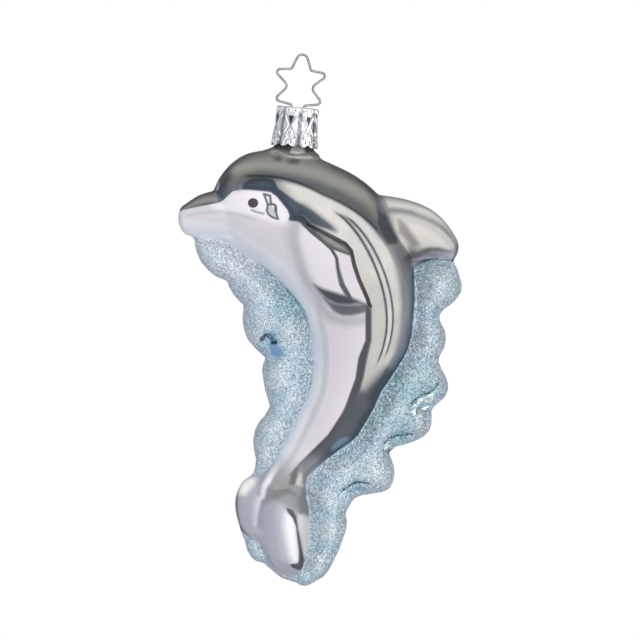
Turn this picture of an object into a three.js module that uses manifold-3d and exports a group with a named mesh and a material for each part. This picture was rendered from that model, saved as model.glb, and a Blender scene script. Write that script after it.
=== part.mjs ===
// A leaping dolphin on a curling wave, blown in one two-part mould as a silvered glass hanging ornament.
// A crimped tin cap sits on the glass neck, and a wire bent into a star holds it from above.
// The origin is where the star hangs: the inside of its top point. The dolphin's left flank faces -Y.
import * as THREE from "three";
import { mergeVertices } from "three/addons/utils/BufferGeometryUtils.js";
import Module from "manifold-3d";

const wasm = await Module();
wasm.setup();

// Sizes in millimetres
const clearance = 0.3;

const wireDiameter = 0.6;
const wireSides = 8;
const wireSteps = 100;

// The star's corners, as if its bends were sharp, by radius and angle from its centre, and the bends' radii
const starPointRadius = 9.43;
const starPointBend = 1.4;
const starValleyRadius = 4.04;
const starValleyAngle = THREE.MathUtils.degToRad(37.3);
const starValleyBend = 0.35;
const starSideRadius = 7.57;
const starSideAngle = THREE.MathUtils.degToRad(69);
const starSideBend = 0.8;
const starLowValleyRadius = 3.01;
const starLowValleyAngle = THREE.MathUtils.degToRad(111.6);
const starLowValleyBend = 1.2;
const starFootRadius = 7.9;
const starFootAngle = THREE.MathUtils.degToRad(128.1);
const starFootBend = 0.8;
const starToCap = 6.25;
const legSpacing = 3.2;
const legLength = 8.5;
const legSplay = 0.8;
const legBend = 0.5;

const capWall = 0.35;
const capHeight = 9.9;
const capFlare = 0.6;
const capPanels = 7;
const crimpDepth = 0.4;
const scallopDepth = 0.7;
const stepsInPanel = 8;

const neckRadius = 4.1;
const neckWall = 1.0;
const neckLength = 9.4;
const boreDepth = 11.5;
const flareRadius = 2.4;

// The neck leans a little to the right as the ornament hangs.
const hangingLean = THREE.MathUtils.degToRad(5.5);

// Heights along the leaning axis. The top point's bend takes a length off its sharp corner: the bend's
// radius, times one over the sine of half the corner's angle less one.
const topRise = starPointRadius - starValleyRadius * Math.cos(starValleyAngle);
const topRun = starValleyRadius * Math.sin(starValleyAngle);
const topRoundedOff = starPointBend * (Math.hypot(topRise, topRun) / topRun - 1);
const starCentre = wireDiameter / 2 + topRoundedOff - starPointRadius;
const capTop = starCentre - starToCap;
const mouth = capTop - capWall - clearance;

// The dolphin's forms. Stations are measured from the centre of the neck's mouth: [across, up, half width,
// half depth, centre's depth], with minus depth towards the viewer. Each form is rounded off over two
// lengths, at its first and last station, and has a number of facets round it and along it.
const body = {
  roundedOver: [10, 3.5],
  facets: [22, 26],
  stations: [
    [-21.5, -24.2, 10.0, 9.0, 0],
    [-7.4, -24.2, 14.5, 12.5, 0],
    [1.6, -28.0, 16.2, 14.0, 0],
    [8.4, -33.2, 16.8, 14.5, 0],
    [13.9, -43.2, 15.8, 13.8, 0],
    [15.6, -53.8, 14.0, 12.0, 0],
    [14.1, -62.5, 11.2, 10.5, 0],
    [10.9, -71.0, 9.0, 9.0, 0],
    [7.6, -78.8, 8.1, 8.0, 0],
    [2.1, -84.5, 5.9, 6.5, 0],
    [-2.6, -90.8, 5.0, 5.8, 0],
    [-5.4, -97.5, 4.0, 4.5, 0],
  ],
};
const beak = {
  roundedOver: [1.5, 5],
  facets: [16, 10],
  stations: [
    [-29.8, -27.8, 2.8, 3.5, 0],
    [-26.9, -27.4, 4.3, 4.5, 0],
    [-24.4, -27.0, 5.4, 5.5, 0],
    [-21.4, -26.6, 6.2, 6.5, 0],
    [-15.6, -26.2, 7.0, 8.0, 0],
    [-8.9, -25.5, 7.0, 9.0, 0],
  ],
};
const fin = {
  roundedOver: [5, 2.5],
  facets: [14, 10],
  stations: [
    [11.0, -31.5, 9.6, 10.0, 0],
    [19.4, -30.2, 9.2, 8.5, 0],
    [25.6, -29.6, 7.5, 6.5, 0],
    [31.1, -31.0, 6.5, 5.2, 0],
    [35.6, -33.5, 4.6, 3.8, 0],
    [39.4, -36.8, 2.5, 2.5, 0],
  ],
};
const flipper = {
  roundedOver: [2, 1.5],
  facets: [12, 10],
  stations: [
    [0.4, -28.5, 2.0, 1.6, -13.0],
    [3.6, -32.5, 3.8, 2.2, -13.2],
    [6.9, -38.0, 6.0, 2.6, -13.2],
    [10.1, -43.2, 5.5, 2.6, -12.8],
    [14.4, -47.0, 2.8, 2.0, -12.0],
    [17.9, -49.5, 0.8, 1.2, -11.4],
  ],
};
const nearFluke = {
  roundedOver: [4, 3.5],
  facets: [14, 10],
  stations: [
    [-3.4, -92.5, 4.0, 4.5, -1.5],
    [-3.5, -97.5, 5.6, 5.0, -2.5],
    [-3.6, -101.5, 6.5, 5.2, -3.0],
    [-3.4, -106.0, 6.4, 5.2, -3.0],
    [-2.8, -110.5, 5.6, 4.6, -2.6],
    [-1.9, -116.8, 3.5, 3.4, -1.8],
  ],
};
const farFluke = {
  roundedOver: [4, 2.5],
  facets: [14, 10],
  stations: [
    [-7.4, -92.0, 4.0, 4.0, 1.0],
    [-10.1, -97.0, 5.2, 4.6, 1.6],
    [-11.1, -102.0, 4.0, 4.4, 1.8],
    [-10.9, -108.0, 2.0, 2.5, 1.6],
  ],
};

// The wave: two bent rolls that fill it, and puffs along them as [across, up, radius, half depth, tall].
const leftRoll = {
  roundedOver: [4, 3],
  facets: [10, 12],
  stations: [
    [-18.4, -32.5, 6.0, 5.2, 0],
    [-8.4, -41.2, 7.2, 6.0, 0],
    [-2.4, -53.8, 7.4, 6.2, 0],
    [0.6, -66.2, 7.0, 5.6, 0],
    [-2.4, -80.5, 6.2, 5.0, 0],
    [-6.4, -92.0, 4.6, 4.0, 0],
  ],
};
const rightRoll = {
  roundedOver: [4, 4],
  facets: [10, 14],
  stations: [
    [30.4, -38.0, 6.8, 5.8, 0],
    [29.0, -52.5, 6.0, 5.6, 0],
    [26.6, -65.0, 7.0, 5.8, 0],
    [19.4, -78.4, 7.2, 5.6, 0],
    [10.4, -88.8, 8.6, 5.4, 0],
    [6.1, -101.0, 6.2, 5.0, 0],
    [0.6, -112.5, 5.6, 4.8, 0],
  ],
};
const puffFacets = [14, 8];
const wavePuffs = [
  [-18.4, -33.8, 7.6, 6.0, 1],
  [-9.9, -40.5, 8.2, 6.5, 1],
  [-5.4, -52.8, 8.6, 7.0, 1],
  [-0.6, -66.8, 8.2, 6.2, 1.15],
  [-3.6, -82.5, 7.5, 5.5, 1],
  [-8.4, -89.2, 3.2, 3.5, 1],
  [33.4, -43.2, 7.6, 6.5, 1],
  [30.6, -57.0, 6.5, 6.0, 1],
  [30.9, -69.0, 6.6, 6.0, 1],
  [26.9, -76.8, 6.6, 6.0, 1],
  [22.1, -78.8, 5.5, 6.0, 1],
  [17.9, -90.0, 6.2, 5.8, 1],
  [5.1, -104.5, 7.1, 5.5, 1],
  [1.9, -111.5, 7.5, 5.5, 1],
  [-8.9, -108.2, 4.8, 3.5, 1],
  [-3.1, -110.8, 6.0, 4.5, 1],
];

const glassMaterial = new THREE.MeshStandardMaterial({ color: "#9aa3b0", roughness: 0.25, metalness: 0.9 });
const tinMaterial = new THREE.MeshStandardMaterial({ color: "#d9dbde", roughness: 0.2, metalness: 1 });
const wireMaterial = new THREE.MeshStandardMaterial({ color: "#b9bcc0", roughness: 0.25, metalness: 1 });

// A closed geometry as a solid that can be joined and cut
function solidOf(geometry) {
  geometry.deleteAttribute("normal");
  geometry.deleteAttribute("uv");
  const merged = mergeVertices(geometry, 1e-4);
  return new wasm.Manifold(
    new wasm.Mesh({
      numProp: 3,
      vertProperties: merged.attributes.position.array,
      triVerts: new Uint32Array(merged.index.array),
    }),
  );
}

// A solid back as a geometry
function geometryOf(solid) {
  const mesh = solid.getMesh();
  const geometry = new THREE.BufferGeometry();
  geometry.setAttribute("position", new THREE.BufferAttribute(mesh.vertProperties, 3));
  geometry.setIndex(new THREE.BufferAttribute(mesh.triVerts, 1));
  geometry.computeVertexNormals();
  return geometry;
}

// Moves every vertex of a geometry to where move(point) puts it.
function reshape(geometry, move) {
  const positions = geometry.attributes.position;
  const point = new THREE.Vector3();
  for (let i = 0; i < positions.count; i++) {
    point.fromBufferAttribute(positions, i);
    move(point);
    positions.setXYZ(i, point.x, point.y, point.z);
  }
  return geometry;
}

// A sphere drawn out along a spine. Its sections are ellipses square to the spine, and its two ends are
// rounded off over the two lengths of roundedOver.
function bentForm({ roundedOver: [startRound, endRound], facets: [around, along], stations }) {
  const spine = new THREE.CatmullRomCurve3(
    stations.map(([across, up, , , depth]) => new THREE.Vector3(across, depth, up)),
    false,
    "catmullrom",
  );
  const sizes = new THREE.CatmullRomCurve3(
    stations.map(([, , halfWidth, halfDepth]) => new THREE.Vector3(halfWidth, halfDepth, 0)),
    false,
    "catmullrom",
  );
  const length = spine.getLength();
  const depthAxis = new THREE.Vector3(0, 1, 0);
  const sphere = new THREE.SphereGeometry(1, around, along);
  return reshape(sphere, (point) => {
    const share = THREE.MathUtils.clamp((1 - point.y) / 2, 0, 1);
    const reach = share * length;
    const t = spine.getUtoTmapping(share);
    const size = sizes.getPoint(t);
    const fromStart = Math.max(0, 1 - reach / startRound);
    const fromEnd = Math.max(0, 1 - (length - reach) / endRound);
    const swell = Math.sqrt(Math.max(0, 1 - fromStart ** 2 - fromEnd ** 2));
    const direction = new THREE.Vector2(point.x, point.z);
    if (direction.length() > 1e-6) direction.normalize();
    else direction.set(0, 0);
    const widthAxis = new THREE.Vector3().crossVectors(depthAxis, spine.getTangent(t)).normalize();
    point.copy(spine.getPoint(t));
    point.addScaledVector(widthAxis, direction.x * size.x * swell);
    point.addScaledVector(depthAxis, direction.y * size.y * swell);
  });
}

// The same form on the other flank
function mirrored(form) {
  const turned = ([across, up, halfWidth, halfDepth, depth]) => [across, up, halfWidth, halfDepth, -depth];
  return { ...form, stations: form.stations.map(turned) };
}

// A puff of the wave: a sphere pressed flat in depth
function puff([across, up, radius, halfDepth, tall]) {
  const sphere = new THREE.SphereGeometry(1, ...puffFacets);
  sphere.scale(radius, halfDepth, radius * tall);
  sphere.translate(across, 0, up);
  return sphere;
}

// The round glass neck, from inside the dolphin's head up to its mouth, flared where it joins the head
function neck() {
  const profile = [new THREE.Vector2(0, -neckLength - 3 * flareRadius)];
  profile.push(new THREE.Vector2(neckRadius + flareRadius, -neckLength - 3 * flareRadius));
  profile.push(new THREE.Vector2(neckRadius + flareRadius, -neckLength - flareRadius));
  for (let step = 1; step <= 4; step++) {
    const angle = (step / 4) * (Math.PI / 2);
    const x = neckRadius + flareRadius * (1 - Math.sin(angle));
    profile.push(new THREE.Vector2(x, -neckLength - flareRadius * Math.cos(angle)));
  }
  profile.push(new THREE.Vector2(neckRadius, 0));
  profile.push(new THREE.Vector2(0, 0));
  return new THREE.LatheGeometry(profile, 32).rotateX(Math.PI / 2);
}

// The blind bore of the neck, which the hanger's legs spring into
function neckBore() {
  const profile = [
    new THREE.Vector2(0, -boreDepth),
    new THREE.Vector2(neckRadius - neckWall, -boreDepth),
    new THREE.Vector2(neckRadius - neckWall, 1),
    new THREE.Vector2(0, 1),
  ];
  return new THREE.LatheGeometry(profile, 24).rotateX(Math.PI / 2);
}

function glassFigure() {
  const forms = [
    ...[body, beak, fin, flipper, mirrored(flipper), nearFluke, farFluke, leftRoll, rightRoll].map(bentForm),
    ...wavePuffs.map(puff),
  ];
  let solid = solidOf(neck().rotateY(hangingLean));
  for (const form of forms) solid = solid.add(solidOf(form));
  solid = solid.subtract(solidOf(neckBore().rotateY(hangingLean)));
  const mesh = new THREE.Mesh(geometryOf(solid), glassMaterial);
  mesh.name = "glass_figure";
  mesh.position.set(mouth * Math.sin(hangingLean), 0, mouth * Math.cos(hangingLean));
  return mesh;
}

// The tin cap: a thin shell with crimps between its panels and one scallop under each panel
function tinCap() {
  const innerTop = neckRadius + clearance + crimpDepth;
  const profile = [
    new THREE.Vector2(0, -capWall),
    new THREE.Vector2(innerTop, -capWall),
    new THREE.Vector2(innerTop + capFlare * 0.3, -capHeight / 2),
    new THREE.Vector2(innerTop + capFlare, -capHeight),
    new THREE.Vector2(innerTop + capFlare + capWall, -capHeight),
    new THREE.Vector2(innerTop + capFlare * 0.3 + capWall, -capHeight / 2),
    new THREE.Vector2(innerTop + capWall, 0),
    new THREE.Vector2(0, 0),
  ];
  const shell = new THREE.LatheGeometry(profile, capPanels * stepsInPanel).rotateX(Math.PI / 2);
  const crimped = reshape(shell, (point) => {
    const radius = Math.hypot(point.x, point.y);
    if (radius < innerTop - 1e-3) return;
    const around = (Math.atan2(point.x, -point.y) / (2 * Math.PI)) * capPanels + capPanels;
    const fold = Math.pow(Math.abs(Math.cos(Math.PI * (around - 0.2))), 6);
    const scallop = Math.abs(Math.sin(Math.PI * (around + 0.3)));
    const drawnIn = 1 - (crimpDepth * fold) / radius;
    point.x *= drawnIn;
    point.y *= drawnIn;
    if (point.z < -capHeight + 1e-3) point.z -= scallopDepth * (scallop - 1);
  });
  const hole = new THREE.CylinderGeometry(wireDiameter / 2 + clearance, wireDiameter / 2 + clearance, 4 * capWall, 12);
  hole.rotateX(Math.PI / 2).translate(0, 0, -capWall / 2);
  let solid = solidOf(crimped);
  for (const side of [-1, 1]) {
    solid = solid.subtract(solidOf(hole.clone().translate((side * legSpacing) / 2, 0, 0)));
  }
  const mesh = new THREE.Mesh(geometryOf(solid), tinMaterial);
  mesh.name = "cap";
  mesh.position.z = capTop;
  return mesh;
}

// One side of the wire, from the star's first valley round to the leg: each corner's place in the plane of
// the star and the radius of its bend
function wireCorners(side) {
  const star = [
    [starValleyAngle, starValleyRadius, starValleyBend],
    [starSideAngle, starSideRadius, starSideBend],
    [starLowValleyAngle, starLowValleyRadius, starLowValleyBend],
    [starFootAngle, starFootRadius, starFootBend],
  ].map(([angle, radius, bend]) => {
    return [side * radius * Math.sin(angle), starCentre + radius * Math.cos(angle), bend];
  });
  const leg = [
    [(side * legSpacing) / 2, capTop + wireDiameter, legBend],
    [(side * legSpacing) / 2, mouth - legLength / 4, legBend],
    [side * (legSpacing / 2 + legSplay), mouth - legLength, legBend],
  ];
  return [...star, ...leg];
}

// Straight runs between corners, with each corner rounded by an arc of its own radius. The arc is a cubic
// curve whose handles are 4/3 of the tangent of a quarter of the turn, times the radius.
function roundedPath(corners) {
  const points = corners.map(([x, z]) => new THREE.Vector3(x, 0, z));
  const path = new THREE.CurvePath();
  let from = points[0];
  for (let i = 1; i < corners.length - 1; i++) {
    const corner = points[i];
    const back = points[i - 1].clone().sub(corner).normalize();
    const onward = points[i + 1].clone().sub(corner).normalize();
    const turn = Math.PI - back.angleTo(onward);
    const radius = corners[i][2];
    const reach = radius * Math.tan(turn / 2);
    const handle = reach - (4 / 3) * Math.tan(turn / 4) * radius;
    const bendAt = (direction, length) => corner.clone().addScaledVector(direction, length);
    path.add(new THREE.LineCurve3(from, bendAt(back, reach)));
    path.add(
      new THREE.CubicBezierCurve3(
        bendAt(back, reach),
        bendAt(back, handle),
        bendAt(onward, handle),
        bendAt(onward, reach),
      ),
    );
    from = bendAt(onward, reach);
  }
  path.add(new THREE.LineCurve3(from, points[points.length - 1]));
  return path;
}

// The hanger: one wire from a leg inside the neck, round the star and back down to the other leg
function wireHanger() {
  const top = [0, starCentre + starPointRadius, starPointBend];
  const corners = [...wireCorners(-1).reverse(), top, ...wireCorners(1)];
  const section = new THREE.Shape();
  for (let i = 0; i < wireSides; i++) {
    const angle = (i / wireSides) * 2 * Math.PI;
    const x = (wireDiameter / 2) * Math.cos(angle);
    const y = (wireDiameter / 2) * Math.sin(angle);
    if (i === 0) section.moveTo(x, y);
    else section.lineTo(x, y);
  }
  const geometry = new THREE.ExtrudeGeometry(section, { steps: wireSteps, extrudePath: roundedPath(corners) });
  const mesh = new THREE.Mesh(geometry, wireMaterial);
  mesh.name = "wire_hanger";
  return mesh;
}

const ornament = new THREE.Group();
const hangingAxis = new THREE.Group();
hangingAxis.rotation.y = hangingLean;
hangingAxis.add(wireHanger(), tinCap());
ornament.add(hangingAxis, glassFigure());

export default ornament;
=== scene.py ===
"""A leaping dolphin on a bubbling wave: a silvered, lacquered and glittered glass hanging ornament.

The glass was blown into a mould of two halves, so each flank is a relief over one plane: its depth is a
height field over (across, up). Lengths are in millimetres until a mesh is made.
"""
import math

import bmesh
import bpy
import numpy as np
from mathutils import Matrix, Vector


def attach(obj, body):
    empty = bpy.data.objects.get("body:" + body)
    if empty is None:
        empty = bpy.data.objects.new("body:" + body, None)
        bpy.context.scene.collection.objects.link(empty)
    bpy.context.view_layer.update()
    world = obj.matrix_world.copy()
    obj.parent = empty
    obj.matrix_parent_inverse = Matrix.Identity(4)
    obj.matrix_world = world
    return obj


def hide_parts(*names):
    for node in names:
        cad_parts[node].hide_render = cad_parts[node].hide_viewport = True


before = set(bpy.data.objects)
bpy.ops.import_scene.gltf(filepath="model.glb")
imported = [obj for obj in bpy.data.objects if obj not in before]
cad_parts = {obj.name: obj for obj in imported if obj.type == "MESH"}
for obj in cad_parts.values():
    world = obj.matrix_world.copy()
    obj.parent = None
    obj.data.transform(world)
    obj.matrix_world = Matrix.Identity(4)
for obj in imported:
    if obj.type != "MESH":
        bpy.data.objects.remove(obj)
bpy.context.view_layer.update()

MM = 0.001
CLEARANCE = 0.3

# The wire and its star: each corner's angle from the top, radius and bend radius, as if bends were sharp
WIRE_RADIUS = 0.3
STAR_TOP = 9.43
STAR_TOP_BEND = 1.4
STAR_CORNERS = [(37.3, 4.04, 0.35), (69.0, 7.57, 0.8), (111.6, 3.01, 1.2), (128.1, 7.9, 0.8)]
STAR_TO_CAP = 6.25
LEG_SPACING = 3.2
LEG_LENGTH = 8.5
LEG_SPLAY = 0.8
LEG_BEND = 0.5

# Heights along the hanging axis, from the inside of the star's top point
VALLEY_ANGLE = math.radians(STAR_CORNERS[0][0])
VALLEY_RUN = STAR_CORNERS[0][1] * math.sin(VALLEY_ANGLE)
VALLEY_DROP = STAR_TOP - STAR_CORNERS[0][1] * math.cos(VALLEY_ANGLE)
TOP_ROUNDED_OFF = STAR_TOP_BEND * (math.hypot(VALLEY_DROP, VALLEY_RUN) / VALLEY_RUN - 1)
STAR_CENTRE = WIRE_RADIUS + TOP_ROUNDED_OFF - STAR_TOP
CAP_TOP = STAR_CENTRE - STAR_TO_CAP
CAP_WALL = 0.35

# How the ornament hangs: the neck leans right, and the figure's points are measured from its mouth.
LEAN = math.radians(5.5)
LEAN_ACROSS, LEAN_UP = math.sin(LEAN), math.cos(LEAN)
MOUTH_DROP = CAP_WALL + CLEARANCE - CAP_TOP
MOUTH = (-MOUTH_DROP * LEAN_ACROSS, -MOUTH_DROP * LEAN_UP)
NECK_RADIUS = 4.1
NECK_WALL = 1.0
NECK_LENGTH = 9.4
NECK_FLARE = 2.4
# The neck has spread by this much at this height above its foot, and by e times more for each run further
# down; it ends where it has sunk into the head
SPREAD_BEGINS = 0.25
SPREAD_ABOVE_FOOT = 1.4
SPREAD_RUN = 1.15
SUNK_IN = 1.6
BORE_DEPTH = 11.5

# The photograph's scale and the pixel where the neck's mouth is centred
MM_PER_PIXEL = 0.25
MOUTH_PIXEL = (297.5, 110.0)


def from_photo(points):
    """Pixels of the photograph as (across, up) in mm from the neck's mouth: a shift and a scale."""
    pixels = np.asarray(points, float)
    return (pixels - MOUTH_PIXEL) * (MM_PER_PIXEL, -MM_PER_PIXEL)


# The dolphin's forms: across, up, half width, half depth
BODY = [
    (-21.5, -24.2, 10.0, 9.0), (-7.4, -24.2, 14.5, 12.5), (1.6, -28.0, 16.2, 14.0), (8.4, -33.2, 16.8, 14.5),
    (13.9, -43.2, 15.8, 13.8), (15.6, -53.8, 14.0, 12.0), (14.1, -62.5, 11.2, 10.5), (10.9, -71.0, 9.0, 9.0),
    (7.6, -78.8, 8.1, 8.0), (2.1, -84.5, 5.9, 6.5), (-2.6, -90.8, 5.0, 5.8), (-5.4, -97.5, 4.0, 4.5),
]
BEAK = [
    (-29.8, -27.8, 2.8, 3.5), (-26.9, -27.4, 4.3, 4.5), (-24.4, -27.0, 5.4, 5.5), (-21.4, -26.6, 6.2, 6.5),
    (-15.6, -26.2, 7.0, 8.0), (-8.9, -25.5, 7.0, 9.0),
]
FIN = [
    (11.0, -31.5, 9.6, 10.0), (19.4, -30.2, 9.2, 8.5), (25.6, -29.6, 7.5, 6.5), (31.1, -31.0, 6.5, 5.2),
    (35.6, -33.5, 4.6, 3.8), (39.4, -36.8, 2.5, 2.5),
]
NEAR_FLUKE = [
    (-3.4, -92.5, 4.0, 6.0), (-3.5, -97.5, 5.6, 7.4), (-3.6, -101.5, 6.5, 8.2), (-3.4, -106.0, 6.4, 8.0),
    (-2.8, -110.5, 5.6, 7.0), (-1.9, -116.8, 3.5, 5.0),
]
FAR_FLUKE = [
    (-7.4, -92.0, 4.0, 5.0), (-10.1, -97.0, 5.2, 6.0), (-11.1, -102.0, 4.0, 6.0), (-10.9, -108.0, 2.0, 4.0),
]
# How softly two forms run together, in square millimetres of depth
BLEND = 8.0
NECK_BLEND = 22.0
# How much of its own depth the fluke behind keeps on a flank
BACK_FLUKE_SHARE = 0.45

# The grid that the height fields are worked out on, and the size of a cell of the glass's mesh
FIELD_STEP = 0.16
FIELD_LOW = (-34.0, -124.0)
FIELD_HIGH = (46.0, 4.0)
FIELD_HALF_DEPTH = 17.0
CELL = 0.46


def spline(rows, per_span=24):
    """Points of the natural cubic spline through rows: each span is a cubic, and the bends (second
    derivatives) at the rows are solved so that they match there and are 0 at both ends."""
    rows = np.asarray(rows, float)
    count = len(rows)
    system = np.eye(count)
    pull = np.zeros_like(rows)
    inner = np.arange(1, count - 1)
    system[inner, inner - 1], system[inner, inner], system[inner, inner + 1] = 1, 4, 1
    pull[1:-1] = 6 * (rows[2:] - 2 * rows[1:-1] + rows[:-2])
    bend = np.linalg.solve(system, pull)
    t = np.linspace(0, 1, per_span, endpoint=False)[:, None]
    first, second, bend_a, bend_b = rows[:-1, None], rows[1:, None], bend[:-1, None], bend[1:, None]
    spans = (1 - t) * first + t * second + (((1 - t) ** 3 - (1 - t)) * bend_a + (t**3 - t) * bend_b) / 6
    return np.vstack([spans.reshape(-1, rows.shape[1]), rows[-1]])


def along_and_across(x, z, curve):
    """For each point: how far along the curve its foot lies, and its signed distance from the curve,
    positive to the left of the way the curve runs. The foot starts at the nearest sample and slides along
    the tangent, which turns evenly between samples, until the point is square to the curve."""
    flat = np.column_stack([np.ravel(x), np.ravel(z)])
    steps = np.hypot(*np.diff(curve[:, :2], axis=0).T)
    length = np.concatenate([[0], np.cumsum(steps)])
    tangent = np.gradient(curve[:, :2], length, axis=0)
    turn = np.unwrap(np.arctan2(tangent[:, 1], tangent[:, 0]))
    parts = np.array_split(flat, len(flat) // 20000 + 1)
    nearest = [np.argmin(((part[:, None] - curve[None, :, :2]) ** 2).sum(2), axis=1) for part in parts]
    nearest = np.concatenate(nearest)
    along = length[nearest]
    curving = np.gradient(turn, length)
    for _ in range(4):
        foot_x, foot_z = (np.interp(along, length, curve[:, k]) for k in (0, 1))
        heading = np.interp(along, length, turn)
        ahead = (flat[:, 0] - foot_x) * np.cos(heading) + (flat[:, 1] - foot_z) * np.sin(heading)
        aside = (flat[:, 1] - foot_z) * np.cos(heading) - (flat[:, 0] - foot_x) * np.sin(heading)
        slide = ahead / np.maximum(1 - np.interp(along, length, curving) * aside, 0.3)
        along = np.clip(along + slide, 0, length[-1])
    past_an_end = (along <= 0) | (along >= length[-1])
    along = along + np.where(past_an_end, ahead, 0.0)
    return along.reshape(np.shape(x)), aside.reshape(np.shape(x)), length


FAR_BELOW = -400.0


def bent_form(x, z, stations, start_round, end_round, flatness=2):
    """Square of a bent form's half thickness:
    depth^2 * (1 - start^2 - end^2 - |aside / half width|^flatness),
    where start and end grow from 0 to 1 over the lengths that round off its two ends. It is worked out
    only near the form."""
    curve = spline(stations)
    reach = curve[:, 2].max() * 1.6 + 3
    low, high = curve[:, :2].min(axis=0) - reach, curve[:, :2].max(axis=0) + reach
    near = (x > low[0]) & (x < high[0]) & (z > low[1]) & (z < high[1])
    along, aside, length = along_and_across(x[near], z[near], curve)
    half_width = np.interp(along, length, curve[:, 2])
    depth = np.interp(along, length, curve[:, 3])
    start = np.clip(1 - along / start_round, 0, None)
    end = np.clip(1 - (length[-1] - along) / end_round, 0, None)
    form = np.full(np.shape(x), FAR_BELOW)
    form[near] = depth**2 * (1 - start**2 - end**2 - np.abs(aside / half_width) ** flatness)
    return form


def soft_max(a, b, blend):
    """The larger of a and b, rounded by a parabola where they differ by less than blend."""
    share = np.clip(0.5 + 0.5 * (a - b) / blend, 0, 1)
    return b + (a - b) * share + blend * share * (1 - share)


def soft_step(value, low, high):
    """0 below low, 1 above high, and the cubic 3t^2 - 2t^3 between."""
    t = np.clip((value - low) / (high - low), 0, 1)
    return t * t * (3 - 2 * t)


def outline_distance(x, z, outline):
    """Signed distance to a closed outline, positive inside: the distance to its nearest segment, with the
    sign from how many segments a ray to the right crosses."""
    ends = np.roll(outline, -1, axis=0)
    nearest = np.full(np.shape(x), np.inf)
    inside = np.zeros(np.shape(x), bool)
    for (ax, az), (bx, bz) in zip(outline, ends):
        dx, dz = bx - ax, bz - az
        t = np.clip(((x - ax) * dx + (z - az) * dz) / (dx * dx + dz * dz + 1e-12), 0, 1)
        nearest = np.minimum(nearest, np.hypot(x - ax - t * dx, z - az - t * dz))
        crosses = (az > z) != (bz > z)
        inside ^= crosses & (x < ax + dx * (z - az) / (dz + (abs(dz) < 1e-12)))
    return np.where(inside, nearest, -nearest)


def line_distance(x, z, points):
    """Distance to an open smooth line through points, measured to its nearest sample."""
    curve = spline(points)
    flat = np.column_stack([np.ravel(x), np.ravel(z)])
    nearest = np.full(len(flat), np.inf)
    for px, pz in curve[:, :2]:
        nearest = np.minimum(nearest, np.hypot(flat[:, 0] - px, flat[:, 1] - pz))
    return nearest.reshape(np.shape(x))


def neck_axis(x, z):
    """Height above the mouth along the neck's leaning axis, and distance from it in the mould's plane."""
    return x * LEAN_ACROSS + z * LEAN_UP, x * LEAN_UP - z * LEAN_ACROSS


def neck_form(x, z):
    """Square of the neck's half thickness: radius(height)^2 - aside^2, where the radius grows ever faster,
    exponentially, as the neck runs into the head, up to the flare's limit, and the form ends below that."""
    height, aside = neck_axis(x, z)
    spread = SPREAD_BEGINS * np.exp((SPREAD_ABOVE_FOOT - NECK_LENGTH - height) / SPREAD_RUN)
    radius = NECK_RADIUS + np.minimum(spread, NECK_FLARE)
    below = np.clip(-NECK_LENGTH - SUNK_IN - height, 0, None)
    return radius**2 - aside**2 - 8 * below**2


# Where the dolphin ends and the wave begins, in pixels; past the silhouette the points run wide of it
DOLPHIN_OUTLINE = [
    (150, 100), (150, 236), (187, 238), (194, 237), (220, 240.5), (230, 244), (250, 259), (262, 266),
    (270, 272), (290, 291), (300, 303), (305, 311), (308, 320), (312, 340), (313.5, 360), (312, 380),
    (310, 390), (307, 398), (287, 440), (275, 460), (269, 468), (262, 474), (225, 476), (222, 520),
    (238, 528), (251, 539), (258, 540.5), (266, 556.5), (273, 566.5), (281, 573), (288, 576), (295, 574),
    (302, 569.5), (305, 562), (308, 550), (309.5, 530), (309, 510), (306.5, 497), (306, 485), (307, 478),
    (312, 472), (328, 458), (353, 440), (358, 435), (373, 410), (381, 392), (403, 359), (408, 349),
    (411.5, 335), (414.5, 300), (414, 269), (419, 265), (425, 262), (433, 260), (450, 261.5), (480, 262),
    (480, 150), (400, 100),
]
WAVE_OUTLINE = [
    (194, 233), (195, 245), (197, 253), (201, 262), (208, 270), (215, 276), (227, 281), (229, 287),
    (233, 294), (239, 301), (243.5, 305), (242.5, 320), (244, 330), (248, 340), (254, 347), (265.5, 358),
    (263, 364), (262, 371), (265, 390), (270, 406), (265, 415), (259, 422), (255, 430), (253, 440),
    (254, 450), (256, 459), (255, 468), (252, 476), (256, 500), (254, 520), (243, 528), (243, 534),
    (247, 550), (250.5, 556), (255, 560.5), (259, 562), (263, 562.5), (268, 567), (283, 577), (290, 580.5),
    (297, 583), (301, 585.5), (305, 586), (310, 584.5), (323, 577), (329, 570), (339, 550), (346, 530),
    (347, 521), (345.5, 514.5), (347, 510), (351, 503), (355, 498), (361, 495.5), (382, 492), (389, 489),
    (393, 482), (394.5, 474), (394, 466), (389, 453), (395, 447), (405, 444.5), (415, 441), (423, 437),
    (429, 431), (431.5, 424), (431.5, 411), (434, 406.5), (445, 397), (448, 390), (448, 383), (445, 375),
    (441, 368), (438.5, 361), (440.5, 354), (444, 348), (446, 340), (445, 331), (439.5, 320), (440, 314),
    (444, 309), (450, 305), (456, 299.5), (461, 292), (462, 285), (457, 268), (452, 260), (440, 254),
    (425, 255), (405, 262), (385, 255), (360, 235), (320, 215), (260, 215), (215, 225),
]
WAVE_DEPTH = 6.4
WAVE_RIM = 5.5
WAVE_VALLEY = 0.55
WAVE_BANK = 5.5

# How steeply the dolphin rises from the wave: a gain in depth squared over a width inside its outline
EDGE_GAIN = 24.0
EDGE_WIDTH = 3.2

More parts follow.
